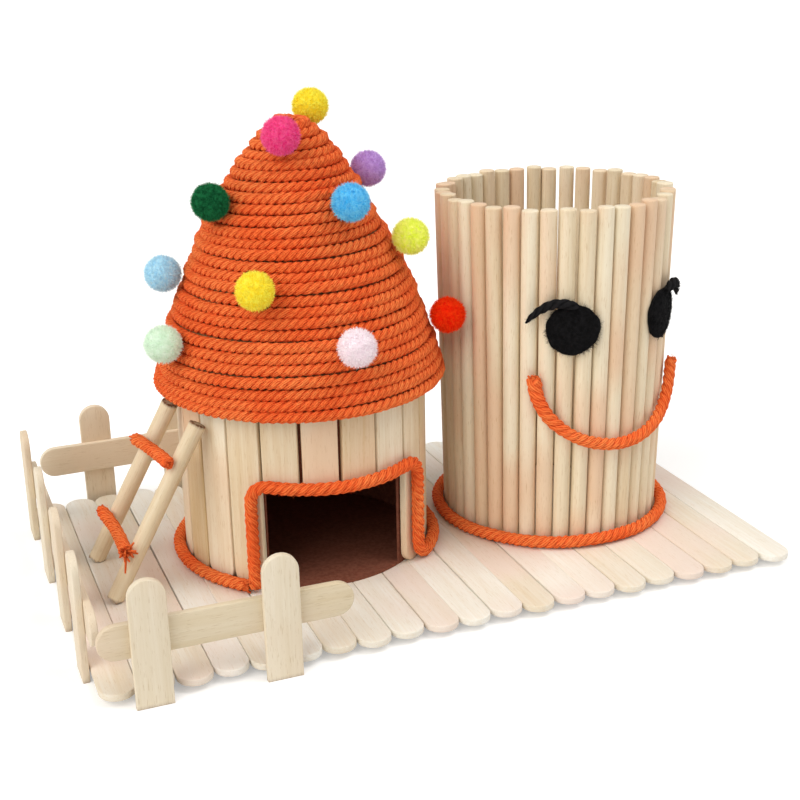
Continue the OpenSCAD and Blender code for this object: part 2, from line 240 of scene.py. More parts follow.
def piece(name, parts, material, body, slot, *nodes):
    """One object from many chunks, riding on a body and standing for CAD nodes."""
    corners, sides, wraps, start = [], [], [], 0
    for part in parts:
        turned = volume_of(part) < 0
        for f, w in zip(part["faces"], part["wraps"]):
            if turned:
                f, w = f[:, ::-1], w[:, ::-1]
            corners.append((f + start).ravel())
            wraps.append(w.reshape(-1, 2))
            sides.append(np.full(len(f), f.shape[1]))
        start += len(part["points"])
    corners, sides = np.concatenate(corners), np.concatenate(sides)
    mesh = bpy.data.meshes.new(name)
    mesh.vertices.add(start)
    mesh.vertices.foreach_set("co", np.concatenate([p["points"] for p in parts]).astype(np.float32).ravel())
    mesh.loops.add(len(corners))
    mesh.loops.foreach_set("vertex_index", corners.astype(np.int32))
    mesh.polygons.add(len(sides))
    mesh.polygons.foreach_set("loop_start", (np.cumsum(sides) - sides).astype(np.int32))
    mesh.polygons.foreach_set("use_smooth", np.ones(len(sides), bool))
    layer = mesh.uv_layers.new(name="wrap")
    layer.data.foreach_set("uv", np.concatenate(wraps).astype(np.float32).ravel())
    for mark in parts[0]["marks"]:
        kind = MARK_KINDS[mark]
        width = 3 if kind == "FLOAT_VECTOR" else 1
        values = [np.broadcast_to(p["marks"][mark], (len(p["points"]), width)) if width == 3
                  else np.broadcast_to(p["marks"][mark], len(p["points"])) for p in parts]
        attribute = mesh.attributes.new(mark, kind, "POINT")
        field = "vector" if width == 3 else "value"
        attribute.data.foreach_set(field, np.concatenate(values).astype(np.float32).ravel())
    mesh.update(calc_edges=True)
    mesh.set_sharp_from_angle(angle=math.radians(50))
    mesh.materials.append(material)
    thing = bpy.data.objects.new(name, mesh)
    scene.collection.objects.link(thing)
    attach(thing, body)
    if nodes:
        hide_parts(*nodes)
    print(name, "-", len(parts), "chunks,", len(mesh.polygons), "faces")
    return thing


# %% [markdown]
# ## Node groups that the materials share
# Wood grain, twisted yarn and fluff each appear in many colours. Each effect is built once as
# a node group with named inputs, and gives out a colour and a height. The shader itself stays
# in each material. The first two helpers save typing: one makes a group with its sockets, the
# other adds a node with its settings and links in one line.

# %% Helpers for nodes
def group_with(name, inputs, outputs):
    """A new shader group with the named sockets, and its inner input and output nodes."""
    tree = bpy.data.node_groups.new(name, "ShaderNodeTree")
    for label, kind, value in inputs:
        socket = tree.interface.new_socket(label, in_out="INPUT", socket_type=kind)
        if value is not None:
            socket.default_value = value
    for label, kind in outputs:
        tree.interface.new_socket(label, in_out="OUTPUT", socket_type=kind)
    return tree, tree.nodes.new("NodeGroupInput"), tree.nodes.new("NodeGroupOutput")


def add(tree, kind, inputs=(), **settings):
    """A node with settings, whose inputs are set by a value or linked from a socket."""
    node = tree.nodes.new(kind)
    for key, value in settings.items():
        setattr(node, key, value)
    for key, value in dict(inputs).items():
        if isinstance(value, bpy.types.NodeSocket):
            tree.links.new(value, node.inputs[key])
        else:
            node.inputs[key].default_value = value
    return node


def blend_colours(tree, share, first, second, way="MIX"):
    """A colour mix; its share, first and second colour may be values or sockets."""
    node = add(tree, "ShaderNodeMix", data_type="RGBA", blend_type=way)
    for index, value in ((0, share), (6, first), (7, second)):
        if isinstance(value, bpy.types.NodeSocket):
            tree.links.new(value, node.inputs[index])
        else:
            node.inputs[index].default_value = value
    return node.outputs[2]


def sum_of(tree, first, second, way="ADD"):
    """One sum or product of two values or sockets."""
    return add(tree, "ShaderNodeMath", {0: first, 1: second}, operation=way).outputs[0]


def rgb(code):
    """A colour written as six hex digits, as linear numbers."""
    parts = [int(code[i:i + 2], 16) / 255 for i in (0, 2, 4)]
    return tuple(c / 12.92 if c <= 0.04045 else ((c + 0.055) / 1.055) ** 2.4 for c in parts) + (1.0,)


# %% [markdown]
# Wood grain runs along each stick, so the noise is squeezed to a twentieth along the stick's
# own length. Three sizes are enough: broad bands, fine streaks and short pores. The tint mark
# makes each stick a little darker or pinker than its neighbour, as cheap birch and poplar
# sticks from one bag are, and the soil mark browns sawn or torn ends.

# %% Group: wood grain
def make_wood_grain():
    """Colour, height and a darkness mask of planed wood."""
    tree, given, result = group_with(
        "wood_grain",
        [("Grain", "NodeSocketVector", None), ("Tint", "NodeSocketFloat", 0.0),
         ("Soil", "NodeSocketFloat", 0.0), ("Pale", "NodeSocketColor", (0.8, 0.7, 0.5, 1)),
         ("Deep", "NodeSocketColor", (0.6, 0.4, 0.2, 1)), ("Pink", "NodeSocketColor", (0.7, 0.4, 0.3, 1)),
         ("Streaks", "NodeSocketFloat", 0.5)],
        [("Color", "NodeSocketColor"), ("Height", "NodeSocketFloat")])

    def streaks(squeeze, scale, detail, contrast):
        """Noise drawn out along the stick, spread to use the whole range."""
        place = add(tree, "ShaderNodeVectorMath", {0: given.outputs["Grain"], 1: (1.0, squeeze, 1.0)},
                    operation="MULTIPLY").outputs[0]
        noise = add(tree, "ShaderNodeTexNoise",
                    {"Vector": place, "Scale": scale, "Detail": detail, "Roughness": 0.6})
        spread = add(tree, "ShaderNodeMapRange",
                     {"Value": noise.outputs["Fac"], "From Min": 0.5 - contrast, "From Max": 0.5 + contrast})
        return spread.outputs[0]

    bands = streaks(0.05, 260, 2, 0.22)
    fine = streaks(0.03, 1500, 3, 0.2)
    pores = streaks(0.06, 4200, 2, 0.16)
    pattern = sum_of(tree, sum_of(tree, bands, 0.55, "MULTIPLY"), sum_of(tree, fine, 0.45, "MULTIPLY"))
    share = sum_of(tree, pattern, given.outputs["Streaks"], "MULTIPLY")
    share = add(tree, "ShaderNodeMath", {0: share, 1: given.outputs["Tint"]}, operation="ADD",
                use_clamp=True).outputs[0]
    colour = blend_colours(tree, share, given.outputs["Pale"], given.outputs["Deep"])
    warm = add(tree, "ShaderNodeTexNoise", {"Vector": given.outputs["Grain"], "Scale": 23.0, "Detail": 1.0})
    blush = add(tree, "ShaderNodeMapRange",
                {"Value": warm.outputs["Fac"], "From Min": 0.46, "From Max": 0.64, "To Max": 0.8})
    colour = blend_colours(tree, blush.outputs[0], colour, given.outputs["Pink"])
    dark_pores = add(tree, "ShaderNodeMapRange",
                     {"Value": pores, "From Min": 0.12, "From Max": 0.0, "To Max": 0.35})
    colour = blend_colours(tree, dark_pores.outputs[0], colour, given.outputs["Deep"], "MULTIPLY")
    ends = sum_of(tree, given.outputs["Soil"], sum_of(tree, fine, 0.55), "MULTIPLY")
    colour = blend_colours(tree, ends, colour, rgb("6b4326"))
    tree.links.new(colour, result.inputs["Color"])
    height = sum_of(tree, sum_of(tree, fine, 0.6, "MULTIPLY"), sum_of(tree, pores, 0.4, "MULTIPLY"))
    tree.links.new(height, result.inputs["Height"])
    return tree


WOOD_GRAIN = make_wood_grain()
print("wood grain group:", len(WOOD_GRAIN.nodes), "nodes")

# %% [markdown]
# Cotton rope is three strands, and each strand is a bundle of fine yarns with a slight twist of
# its own. The strands are real geometry. The yarns are drawn by this group from the wrap
# coordinates: round the strand and, in millimetres, along it. The group paints light and shade
# into the colour: a redder, darker painted shade deep between the strands and between the yarns,
# and a more yellow painted highlight on the crowns of the strands.

# %% Group: yarn in a strand
def make_yarn():
    """Colour and height of the yarns on a strand, with painted shade in the creases and a painted highlight on
    the crown, from its wrap coordinates and lift mark.
    """
    tree, given, result = group_with(
        "yarn",
        [("Wrap", "NodeSocketVector", None), ("Lift", "NodeSocketFloat", 1.0),
         ("Deep", "NodeSocketColor", (0.3, 0.02, 0.0, 1)), ("Body", "NodeSocketColor", (0.8, 0.2, 0.02, 1)),
         ("Crown", "NodeSocketColor", (0.9, 0.4, 0.1, 1)), ("Place", "NodeSocketVector", None),
         ("Yarns", "NodeSocketFloat", 9.0), ("Turn", "NodeSocketFloat", 0.09)],
        [("Color", "NodeSocketColor"), ("Height", "NodeSocketFloat")])
    axes = add(tree, "ShaderNodeSeparateXYZ", {0: given.outputs["Wrap"]})
    wobble = add(tree, "ShaderNodeTexNoise", {"Vector": given.outputs["Wrap"], "Scale": 0.8, "Detail": 1.0})
    turned = sum_of(tree, axes.outputs[0], sum_of(tree, axes.outputs[1], given.outputs["Turn"], "MULTIPLY"),
                    "SUBTRACT")
    turned = sum_of(tree, turned, sum_of(tree, wobble.outputs["Fac"], 0.12, "MULTIPLY"))
    phase = sum_of(tree, turned, sum_of(tree, given.outputs["Yarns"], 2 * math.pi, "MULTIPLY"), "MULTIPLY")
    wave = sum_of(tree, sum_of(tree, add(tree, "ShaderNodeMath", {0: phase}, operation="SINE").outputs[0], 0.5,
                               "MULTIPLY"), 0.5)
    across = sum_of(tree, turned, 60.0, "MULTIPLY")
    place = add(tree, "ShaderNodeCombineXYZ", {0: across, 1: sum_of(tree, axes.outputs[1], 0.9, "MULTIPLY")})
    hair = add(tree, "ShaderNodeTexNoise", {"Vector": place.outputs[0], "Scale": 1.0, "Detail": 2.0})
    spread = add(tree, "ShaderNodeMapRange",
                 {"Value": hair.outputs["Fac"], "From Min": 0.32, "From Max": 0.68}).outputs[0]
    # Painted shade: the lift mark mixes the Deep colour into the creases between strands, and the rope's own
    # Body colour on top.
    colour = blend_colours(tree, given.outputs["Lift"], given.outputs["Deep"], given.outputs["Body"])
    bright = sum_of(tree, sum_of(tree, wave, 0.45, "MULTIPLY"), sum_of(tree, spread, 0.55, "MULTIPLY"))
    patches = add(tree, "ShaderNodeTexNoise", {"Vector": given.outputs["Place"], "Scale": 70.0, "Detail": 2.0})
    fading = add(tree, "ShaderNodeMapRange",
                 {"Value": patches.outputs["Fac"], "From Min": 0.38, "From Max": 0.62, "To Min": 0.7,
                  "To Max": 1.3}).outputs[0]
    # Painted highlight: the crown colour is laid on the bright yarns, the more where the lift mark is high.
    crown = sum_of(tree, bright, sum_of(tree, given.outputs["Lift"], fading, "MULTIPLY"), "MULTIPLY")
    crown = add(tree, "ShaderNodeMath", {0: crown, 1: 0.0}, operation="ADD", use_clamp=True).outputs[0]
    colour = blend_colours(tree, crown, colour, given.outputs["Crown"])
    # Painted shade between the fine yarns, in the Deep colour.
    gaps = add(tree, "ShaderNodeMapRange", {"Value": bright, "From Min": 0.42, "From Max": 0.08, "To Max": 0.8})
    colour = blend_colours(tree, gaps.outputs[0], colour, given.outputs["Deep"])
    tree.links.new(colour, result.inputs["Color"])
    height = sum_of(tree, sum_of(tree, wave, 0.6, "MULTIPLY"), sum_of(tree, spread, 0.4, "MULTIPLY"))
    tree.links.new(height, result.inputs["Height"])
    return tree


YARN = make_yarn()
print("yarn group:", len(YARN.nodes), "nodes")

# %% [markdown]
# Fluff is a ball or pad of short fibres. The fibres are geometry too, so the group only has to
# paint shade at their roots and vary the colour a little from tuft to tuft. The painted shade
# at the roots and the tufts give a pompom its mottled look.

# %% Group: fluff
def make_fluff():
    """Colour and height of fluffy fibre, with painted shade at the roots and mottled in tufts."""
    tree, given, result = group_with(
        "fluff",
        [("Place", "NodeSocketVector", None), ("Lift", "NodeSocketFloat", 1.0),
         ("Root", "NodeSocketColor", (0.2, 0.2, 0.2, 1)), ("Tip", "NodeSocketColor", (0.8, 0.8, 0.8, 1)),
         ("Mottle", "NodeSocketFloat", 0.5)],
        [("Color", "NodeSocketColor"), ("Height", "NodeSocketFloat")])
    tufts = add(tree, "ShaderNodeTexNoise", {"Vector": given.outputs["Place"], "Scale": 900.0, "Detail": 2.0})
    spread = add(tree, "ShaderNodeMapRange",
                 {"Value": tufts.outputs["Fac"], "From Min": 0.35, "From Max": 0.65}).outputs[0]
    # depth is the lift mark moved by the tufts; where it is low, the Root colour paints shade among the fibres
    depth = sum_of(tree, given.outputs["Lift"], sum_of(tree, sum_of(tree, spread, 0.5, "SUBTRACT"),
                                                       given.outputs["Mottle"], "MULTIPLY"))
    share = add(tree, "ShaderNodeMath", {0: depth, 1: 0.0}, operation="ADD", use_clamp=True).outputs[0]
    tree.links.new(blend_colours(tree, share, given.outputs["Root"], given.outputs["Tip"]),
                   result.inputs["Color"])
    tree.links.new(spread, result.inputs["Height"])
    return tree


FLUFF = make_fluff()
print("fluff group:", len(FLUFF.nodes), "nodes")

# %% [markdown]
# ## Materials
# Each material places a group, gives it this material's own colours, and feeds a Principled
# shader. Bare wood and cotton scatter light widely, so their roughness is high and their
# gloss is low.

# %% Materials of wood, rope, fluff and card
def new_material(name, roughness, gloss):
    """An empty material with its shader, and the shader's fixed values."""
    material = bpy.data.materials.new(name)
    material.use_nodes = True
    shader = material.node_tree.nodes["Principled BSDF"]
    shader.inputs["Roughness"].default_value = roughness
    shader.inputs["Specular IOR Level"].default_value = gloss
    return material, material.node_tree, shader


def use_group(tree, shader, group, inputs, bump, depth):
    """Puts a group in a material, with its colour and height on the shader."""
    node = add(tree, "ShaderNodeGroup", node_tree=group)
    for key, value in inputs.items():
        if isinstance(value, bpy.types.NodeSocket):
            tree.links.new(value, node.inputs[key])
        else:
            node.inputs[key].default_value = value
    tree.links.new(node.outputs["Color"], shader.inputs["Base Color"])
    bumps = add(tree, "ShaderNodeBump",
                {"Strength": bump, "Distance": depth, "Height": node.outputs["Height"]})
    tree.links.new(bumps.outputs[0], shader.inputs["Normal"])


def mark(tree, name, field="Fac"):
    """The output of a mark that the mesh carries."""
    return add(tree, "ShaderNodeAttribute", attribute_name=name).outputs[field]


def wood(name, pale, deep, pink, streaks):
    """Bare wood in one family of colours."""
    material, tree, shader = new_material(name, 0.62, 0.3)
    use_group(tree, shader, WOOD_GRAIN,
              {"Grain": mark(tree, "grain", "Vector"), "Tint": mark(tree, "tint"),
               "Soil": mark(tree, "soil"), "Pale": rgb(pale), "Deep": rgb(deep), "Pink": rgb(pink),
               "Streaks": streaks}, 0.35, 0.06 * MM)
    return material


def cotton(name, deep, body, crown):
    """Twisted cotton rope: deep is the colour of its painted shade, body its own orange, crown the colour of its
    painted highlight.
    """
    material, tree, shader = new_material(name, 0.85, 0.15)
    place = add(tree, "ShaderNodeTexCoord").outputs["Object"]
    use_group(tree, shader, YARN,
              {"Wrap": mark(tree, "wrap", "Vector"), "Lift": mark(tree, "lift"), "Place": place,
               "Deep": rgb(deep), "Body": rgb(body), "Crown": rgb(crown)}, 0.9, 0.16 * MM)
    return material


def fluffy(name, root, tip, mottle=0.6, sheen=0.35):
    """Soft fibre in one colour, with the pale bloom of fluff along its edges."""
    material, tree, shader = new_material(name, 0.95, 0.1)
    shader.inputs["Sheen Weight"].default_value = sheen
    shader.inputs["Sheen Tint"].default_value = rgb(tip)
    place = add(tree, "ShaderNodeTexCoord").outputs["Object"]
    use_group(tree, shader, FLUFF,
              {"Place": place, "Lift": mark(tree, "lift"), "Root": rgb(root), "Tip": rgb(tip),
               "Mottle": mottle}, 0.5, 0.15 * MM)
    return material


def card(name, light, dark):
    """Matt card with a soft cloudy surface and fine fibres."""
    material, tree, shader = new_material(name, 0.9, 0.1)
    place = add(tree, "ShaderNodeTexCoord").outputs["Object"]
    use_group(tree, shader, FLUFF,
              {"Place": place, "Lift": 0.5, "Root": rgb(dark), "Tip": rgb(light), "Mottle": 0.5},
              0.3, 0.03 * MM)
    return material


DECK_WOOD = wood("deck_wood", "f0eee6", "dccaac", "e8d6ca", 0.6)
FENCE_WOOD = wood("fence_wood", "e6dbc6", "cbb790", "ddc8ae", 0.6)
WALL_WOOD = wood("wall_wood", "efe5ce", "d2b688", "e6c5a4", 0.75)
DOWEL_WOOD = wood("dowel_wood", "eee3ca", "cfb387", "e2bf9f", 0.6)
# Rope colours: a82004 is painted shade, f44c10 the rope's own orange, fb9450 a painted highlight.
ORANGE_ROPE = cotton("orange_rope", "a82004", "f44c10", "fb9450")
# Black felt: 050505 is painted shade at the fibre roots and on the pad, 1d1c1e the felt's own black.
BLACK_FELT = fluffy("black_felt", "050505", "1d1c1e", 0.5, 0.0)
BROWN_CARD = card("brown_card", "c9a87a", "a98454")
# Dark card, partly the liner's own card and partly painted shade: its dark brown stands for the shade inside the
# hut.
DARK_CARD_AND_SHADE = card("dark_card", "8a5644", "6b3b2c")
print("materials:", len(bpy.data.materials))

# %% [markdown]
# ## Craft sticks
# A craft stick is stamped from veneer: a flat strip with half-round ends and slightly softened
# edges. It could be a bevelled cube, but the round ends are easier as a stack of outlines: the
# same outline, drawn in by the edge's roundness at the bottom and the top. Each stick keeps
# its own coordinates in the grain mark, moved to a random spot of the wood.

# %% One craft stick
STICK_W = (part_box("front_rail")[1].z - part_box("front_rail")[0].z)
STICK_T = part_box("batten_front")[1].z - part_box("batten_front")[0].z
EDGE = 0.32 * MM


def stick_outline(half, length, round_start, round_end, inset):
    """Half-width and place along the stick, from its start to its end."""
    arc = np.radians(np.linspace(7, 90, 9))
    r = half - inset
    curve = np.array([r * np.sin(arc), half - r * np.cos(arc)])
    square = np.array([[r, r, r], [inset, 0.6 * MM, 1.4 * MM]])
    start = curve if round_start else square
    end = (curve if round_end else square)[:, ::-1] * [[1], [-1]] + [[0], [length]]
    places = np.linspace(start[1, -1], end[1, 0], 8)[1:-1]
    middle = np.array([np.full(6, r), places])
    return np.concatenate([start, middle, end], axis=1)


def stick(length, round_start=True, round_end=True, width=STICK_W, soil_start=0.0, soil_end=0.0):
    """A stick along +Y, its lower face at height 0, with a tint and a bit of wood of its own."""
    levels = [(EDGE * (1 - math.sin(a)), EDGE * (1 - math.cos(a))) for a in np.radians([0, 30, 60, 90])]
    levels = levels + [(inset, STICK_T - z) for inset, z in reversed(levels)]
    rings = []
    wave = rng.uniform(0, 6.28, 2)
    for inset, z in levels:
        half, along = stick_outline(width / 2, length, round_start, round_end, inset)
        half = half * (1 + 0.007 * np.sin(along * 90 + wave[0]) + 0.004 * np.sin(along * 260 + wave[1]))
        right = np.stack([half, along, np.full(len(half), z)], axis=1)
        left = right[::-1] * (-1, 1, 1)
        rings.append(np.concatenate([right, left]))
    n = len(rings[0])
    m = n // 2
    j = np.arange(n)
    faces = [np.stack([k * n + j, k * n + (j + 1) % n, (k + 1) * n + (j + 1) % n, (k + 1) * n + j], axis=1)
             for k in range(len(rings) - 1)]
    i = np.arange(m - 1)
    top = (len(rings) - 1) * n
    faces.append(np.stack([top + i, top + i + 1, top + n - 2 - i, top + n - 1 - i], axis=1))
    faces.append(np.stack([n - 1 - i, n - 2 - i, i + 1, i], axis=1))
    points = np.concatenate(rings)
    grain = points + rng.uniform(-0.4, 0.4, 3)
    soil = np.zeros(len(points))
    soil += soil_start * np.clip(1 - points[:, 1] / (0.9 * MM), 0, 1)
    soil += soil_end * np.clip(1 - (length - points[:, 1]) / (0.9 * MM), 0, 1)
    points = points + np.stack([0.15 * MM * np.sin(points[:, 1] * 22 + wave[1]),
                                np.zeros(len(points)), np.zeros(len(points))], axis=1)
    return chunk(points, faces, grain=grain, tint=rng.uniform(-0.3, 0.4), soil=soil)


print("craft stick", round(STICK_W / MM, 2), "x", round(STICK_T / MM, 2), "mm")

# %% [markdown]
# ## The raft
# Twenty-one whole sticks lie side by side on three pairs of battens. Their ends don't quite
# line up, as the frame says by the shuffle rule that this cell repeats.

# %% Deck and battens
X, Y, Z = np.eye(3)
GLUE_GAP = 0.2 * MM


def shuffle(i, size):
    """The frame's small shuffle of the i-th piece."""
    return size * math.sin(math.radians(i * 137 + 40))


def make_deck():
    """The sticks of the raft, each at its own place from front to back."""
    low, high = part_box("deck_sticks")
    pitch = STICK_W + GLUE_GAP
    count = round((high.x - low.x + GLUE_GAP) / pitch)
    length = 130 * MM
    front = (low.y + high.y - length) / 2
    parts = []
    for i in range(count):
        origin = (low.x + (i + 0.5) * pitch - GLUE_GAP / 2, front + shuffle(i, 0.5 * MM), low.z)
        parts.append(placed(stick(length), origin, X, Y, Z))
    piece("deck_wood", parts, DECK_WOOD, "base", "deck_stick", "deck_sticks")


def make_batten(name):
    """Two sticks end to end under the raft."""
    low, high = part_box(name)
    length = (high.x - low.x - GLUE_GAP) / 2
    middle = (low.y + high.y) / 2
    left = placed(stick(length, True, False), (low.x, middle, low.z), -Y, X, Z)
    right = placed(stick(length, False, True), (low.x + length + GLUE_GAP, middle, low.z), -Y, X, Z)
    piece(name + "_wood", [left, right], DECK_WOOD, "base", "deck_stick", name)


make_deck()
for batten in ("batten_front", "batten_middle", "batten_back"):
    make_batten(batten)

# %% [markdown]
# ## Fences
# A rail is a whole stick on edge, and the pickets are cut sticks with their round end up,
# glued to its outer side. Each takes its place from its own box in the frame.

# %% Rails and pickets
def make_rail(name, along, out):
    """A stick on edge; along is its length's way and out the way of its thickness."""
    low, high = (np.array(c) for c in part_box(name))
    length = abs((high - low) @ along)
    across = np.cross(along, out)
    middle = (low + high) / 2
    origin = middle - along * length / 2 - out * STICK_T / 2
    part = placed(stick(length), origin, across, along, out)
    piece(name + "_wood", [part], FENCE_WOOD, "base", "fence_stick", name)


def make_picket(name, out):
    """A cut stick that stands on the floor, its round end up, its face towards out."""
    low, high = (np.array(c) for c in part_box(name))
    middle = (low + high) / 2
    origin = middle - out * STICK_T / 2
    origin[2] = low[2]
    part = placed(stick(high[2] - low[2], False, True, soil_start=0.4), origin, np.cross(Z, out), Z, out)
    piece(name + "_wood", [part], FENCE_WOOD, "base", "fence_stick", name)


make_rail("front_rail", X, Y)
make_rail("back_rail", X, Y)
make_rail("left_rail", Y, X)
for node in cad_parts:
    if "_picket_" in node:
        side = {"front": -Y, "back": Y, "left": -X}[node.split("_")[0]]
        make_picket(node, side)

# %% [markdown]
# ## The hut's wall
# Half sticks stand in a ring, round end down, with flat faces outwards. Over the doorway hang
# four short sticks. The wall wood is coarser and more yellow than the raft's, and its sawn
# tops show when the roof is lifted off.

# %% Wall sticks and lintels
def centre_of(node):
    """The middle of a node's box."""
    low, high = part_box(node)
    return (np.array(low) + np.array(high)) / 2


HUT = centre_of("roof_rope")
POT = centre_of("pot_base_rope")
DECK_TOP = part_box("deck_sticks")[1].z
HUT_R = 37.4 * MM
DOOR_DIR = -91
DOOR_ARC = 70
WALL_COUNT = 18
LINTEL_COUNT = 4


def around(axis, radius, degrees, height):
    """A point, or points, on a circle round an upright axis."""
    a = np.radians(degrees)
    return np.stack(np.broadcast_arrays(axis[0] + radius * np.cos(a), axis[1] + radius * np.sin(a), height), -1)


def wall_part(degrees, low, high, round_foot, tilt, width=STICK_W):
    """One stick of the wall, its flat face square to its direction from the hut's axis."""
    a = math.radians(degrees)
    out = np.array([math.cos(a), math.sin(a), 0])
    side = np.array([-math.sin(a), math.cos(a), 0])
    up = unit(Z + side * tilt)
    origin = around(HUT, HUT_R - STICK_T, degrees, low)
    part = stick(high - low, round_foot, False, width, 0.0 if round_foot else 0.5, 0.5)
    return placed(part, origin, unit(np.cross(up, out)), up, out)


def make_wall():
    """The ring of half sticks and the four lintels."""
    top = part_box("hut_wall_sticks")[1].z
    step = (360 - DOOR_ARC) / WALL_COUNT
    first = DOOR_DIR + DOOR_ARC / 2
    tilts = rng.uniform(-0.003, 0.003, WALL_COUNT + LINTEL_COUNT)
    parts = [wall_part(first + (i + 0.5) * step, DECK_TOP, top, True, tilts[i]) for i in range(WALL_COUNT)]
    piece("hut_wall_wood", parts, WALL_WOOD, "base", "wall_stick", "hut_wall_sticks")
    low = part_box("hut_lintel_sticks")[0].z
    step = DOOR_ARC / LINTEL_COUNT
    first = DOOR_DIR - DOOR_ARC / 2
    parts = [wall_part(first + (i + 0.5) * step, low, top, False, tilts[WALL_COUNT + i], STICK_W * 1.05)
             for i in range(LINTEL_COUNT)]
    piece("hut_lintel_wood", parts, WALL_WOOD, "base", "wall_stick", "hut_lintel_sticks")


make_wall()

# %% [markdown]
# ## Round dowels
# The pot is a ring of sawn dowels. A dowel is a loft of circles: a small chamfer at each sawn
# end, and a very slight bow and taper between, so that no two look alike. The ladder's rails
# are the same dowel with dirty ends and a torn foot.

# %% One dowel
DOWEL_D = 5.0 * MM


def dowel(length, diameter, chamfer=0.2 * MM, tear=0.0, soil_start=0.0, soil_end=0.0, bow=0.1 * MM):
    """A dowel along +Y from 0 to length; tear roughens its start."""
    n = 20
    a = np.arange(n) / n * 2 * math.pi
    stations = np.concatenate([[0, chamfer, 0.8 * MM, 1.6 * MM], np.linspace(0, length, 10)[1:-1],
                               [length - 1.0 * MM, length - 0.5 * MM, length - chamfer, length]])
    rings = []
    phase = rng.uniform(0, 6.28)
    jag = rng.uniform(0, 1, n)
    for k, y in enumerate(stations):
        last = k in (0, len(stations) - 1)
        r = diameter / 2 - (chamfer if last else 0)
        r = r * (1 + 0.012 * np.sin(2 * a + phase) + 0.006 * math.sin(y * 150 + phase))
        off = bow * math.sin(math.pi * y / length)
        lift = y + tear * jag * max(0.0, 1 - y / (1.6 * MM)) ** 2
        rings.append(np.stack(np.broadcast_arrays(r * np.cos(a) + off, lift, r * np.sin(a)), -1))
    ends = [np.array([[0.0, tear * 0.4, 0.0]]), np.array([[0.0, length, 0.0]])]
    points = np.concatenate(rings + ends)
    j = np.arange(n)
    quads = np.concatenate([np.stack([k * n + j, k * n + (j + 1) % n, (k + 1) * n + (j + 1) % n,
                                      (k + 1) * n + j], axis=1) for k in range(len(rings) - 1)])
    top = (len(rings) - 1) * n
    middle = len(points) - 2
    caps = np.concatenate([np.stack([(j + 1) % n, j, np.full(n, middle)], axis=1),
                           np.stack([top + j, top + (j + 1) % n, np.full(n, middle + 1)], axis=1)])
    grain = points + rng.uniform(-0.4, 0.4, 3)
    soil = soil_start * np.clip(1.2 - points[:, 1] / (1.2 * MM), 0, 1)
    soil = soil + soil_end * np.clip(1.2 - (length - points[:, 1]) / (0.6 * MM), 0, 1)
    soil[middle:] = (soil_start * 0.6, 0.1 * soil_end)
    return chunk(points, [quads, caps], grain=grain, tint=rng.uniform(-0.25, 0.35), soil=soil)


print("dowel", DOWEL_D / MM, "mm")

# %% Pen pot
POT_R = 32.1 * MM
POT_COUNT = 39
POT_H = 105 * MM
POT_LEAN = math.radians(1.3)


def make_pot():
    """A ring of dowels that lean out a little. Those at the back stand less evenly."""
    parts = []
    for i in range(POT_COUNT):
        degrees = 360 * i / POT_COUNT
        back = max(0.0, math.sin(math.radians(degrees))) ** 0.5
        degrees += rng.uniform(-0.6, 0.6) * back
        a = math.radians(degrees)
        out = np.array([math.cos(a), math.sin(a), 0])
        side = np.array([-math.sin(a), math.cos(a), 0])
        up = math.cos(POT_LEAN) * Z + math.sin(POT_LEAN) * out + rng.uniform(-0.0022, 0.0022) * side
        up = unit(up)
        foot = around(POT, POT_R, degrees, DECK_TOP + DOWEL_D / 2 * math.sin(POT_LEAN))
        girth = DOWEL_D * rng.uniform(0.965, 1.0)
        part = dowel(POT_H + shuffle(i, 0.4 * MM), girth, bow=rng.uniform(-0.12, 0.12) * MM, soil_start=0.5)
        parts.append(placed(part, foot, unit(np.cross(up, out)), up, out))
    piece("pot_dowel_wood", parts, DOWEL_WOOD, "base", "dowel_wood", "pot_dowels")


make_pot()

# %% [markdown]
# ## Ladder rails
# Each rail runs from the raft to the edge of the roof. Its axis is found from the corners of
# its box: a bar of known thickness that leans one way fills its box from corner to corner.

# %% Ladder rails
def rail_ends(node, front):
    """Foot and top of a rail's axis, from its box."""
    low, high = (np.array(c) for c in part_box(node))
    r = DOWEL_D / 2
    foot = np.array([low[0], 0, low[2]])
    top = np.array([high[0], 0, high[2]])
    lean = math.atan2(high[2] - low[2], high[0] - low[0] - 2 * r)
    foot[0] += r / math.sin(lean)
    top[0] -= r * math.sin(lean)
    top[2] -= r * math.cos(lean)
    sides = (low[1] + r, high[1] - r)
    foot[1], top[1] = sides if front else sides[::-1]
    return foot, top


def make_ladder_rail(node, front):
    """A dowel with a torn, dirty foot and a dark rim at its sawn top."""
    foot, top = rail_ends(node, front)
    up = unit(top - foot)
    side = unit(np.cross(up, Y))
    length = float(np.linalg.norm(top - foot))
    part = dowel(length, DOWEL_D, tear=1.8 * MM, soil_start=1.1, soil_end=0.9)
    part = placed(part, foot, side, up, np.cross(side, up))
    flat = DECK_TOP + 0.05 * MM
    part["points"][:, 2] = np.maximum(part["points"][:, 2], flat)
    piece(node + "_wood", [part], DOWEL_WOOD, "base", "dowel_wood", node)
    return foot, top


FRONT_FOOT, FRONT_TOP = make_ladder_rail("ladder_rail_front", True)
REAR_FOOT, REAR_TOP = make_ladder_rail("ladder_rail_rear", False)

# %% [markdown]
# ## Rope
# A rope is three strands that wind round a path. At each step along the path there are three
# ways: along it, out from what the rope lies on, and across. A strand's centre circles the
# path in the out and across plane, and its own round section is swept along that helix. This
# rope is laid left-handed. Fine loose fibres stand out from it, as on any cotton rope.

# %% Paths and hairs
ROPE_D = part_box("pot_base_rope")[1].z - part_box("pot_base_rope")[0].z
PLUMP_D = 3.85 * MM
LAY = 7.2 * MM


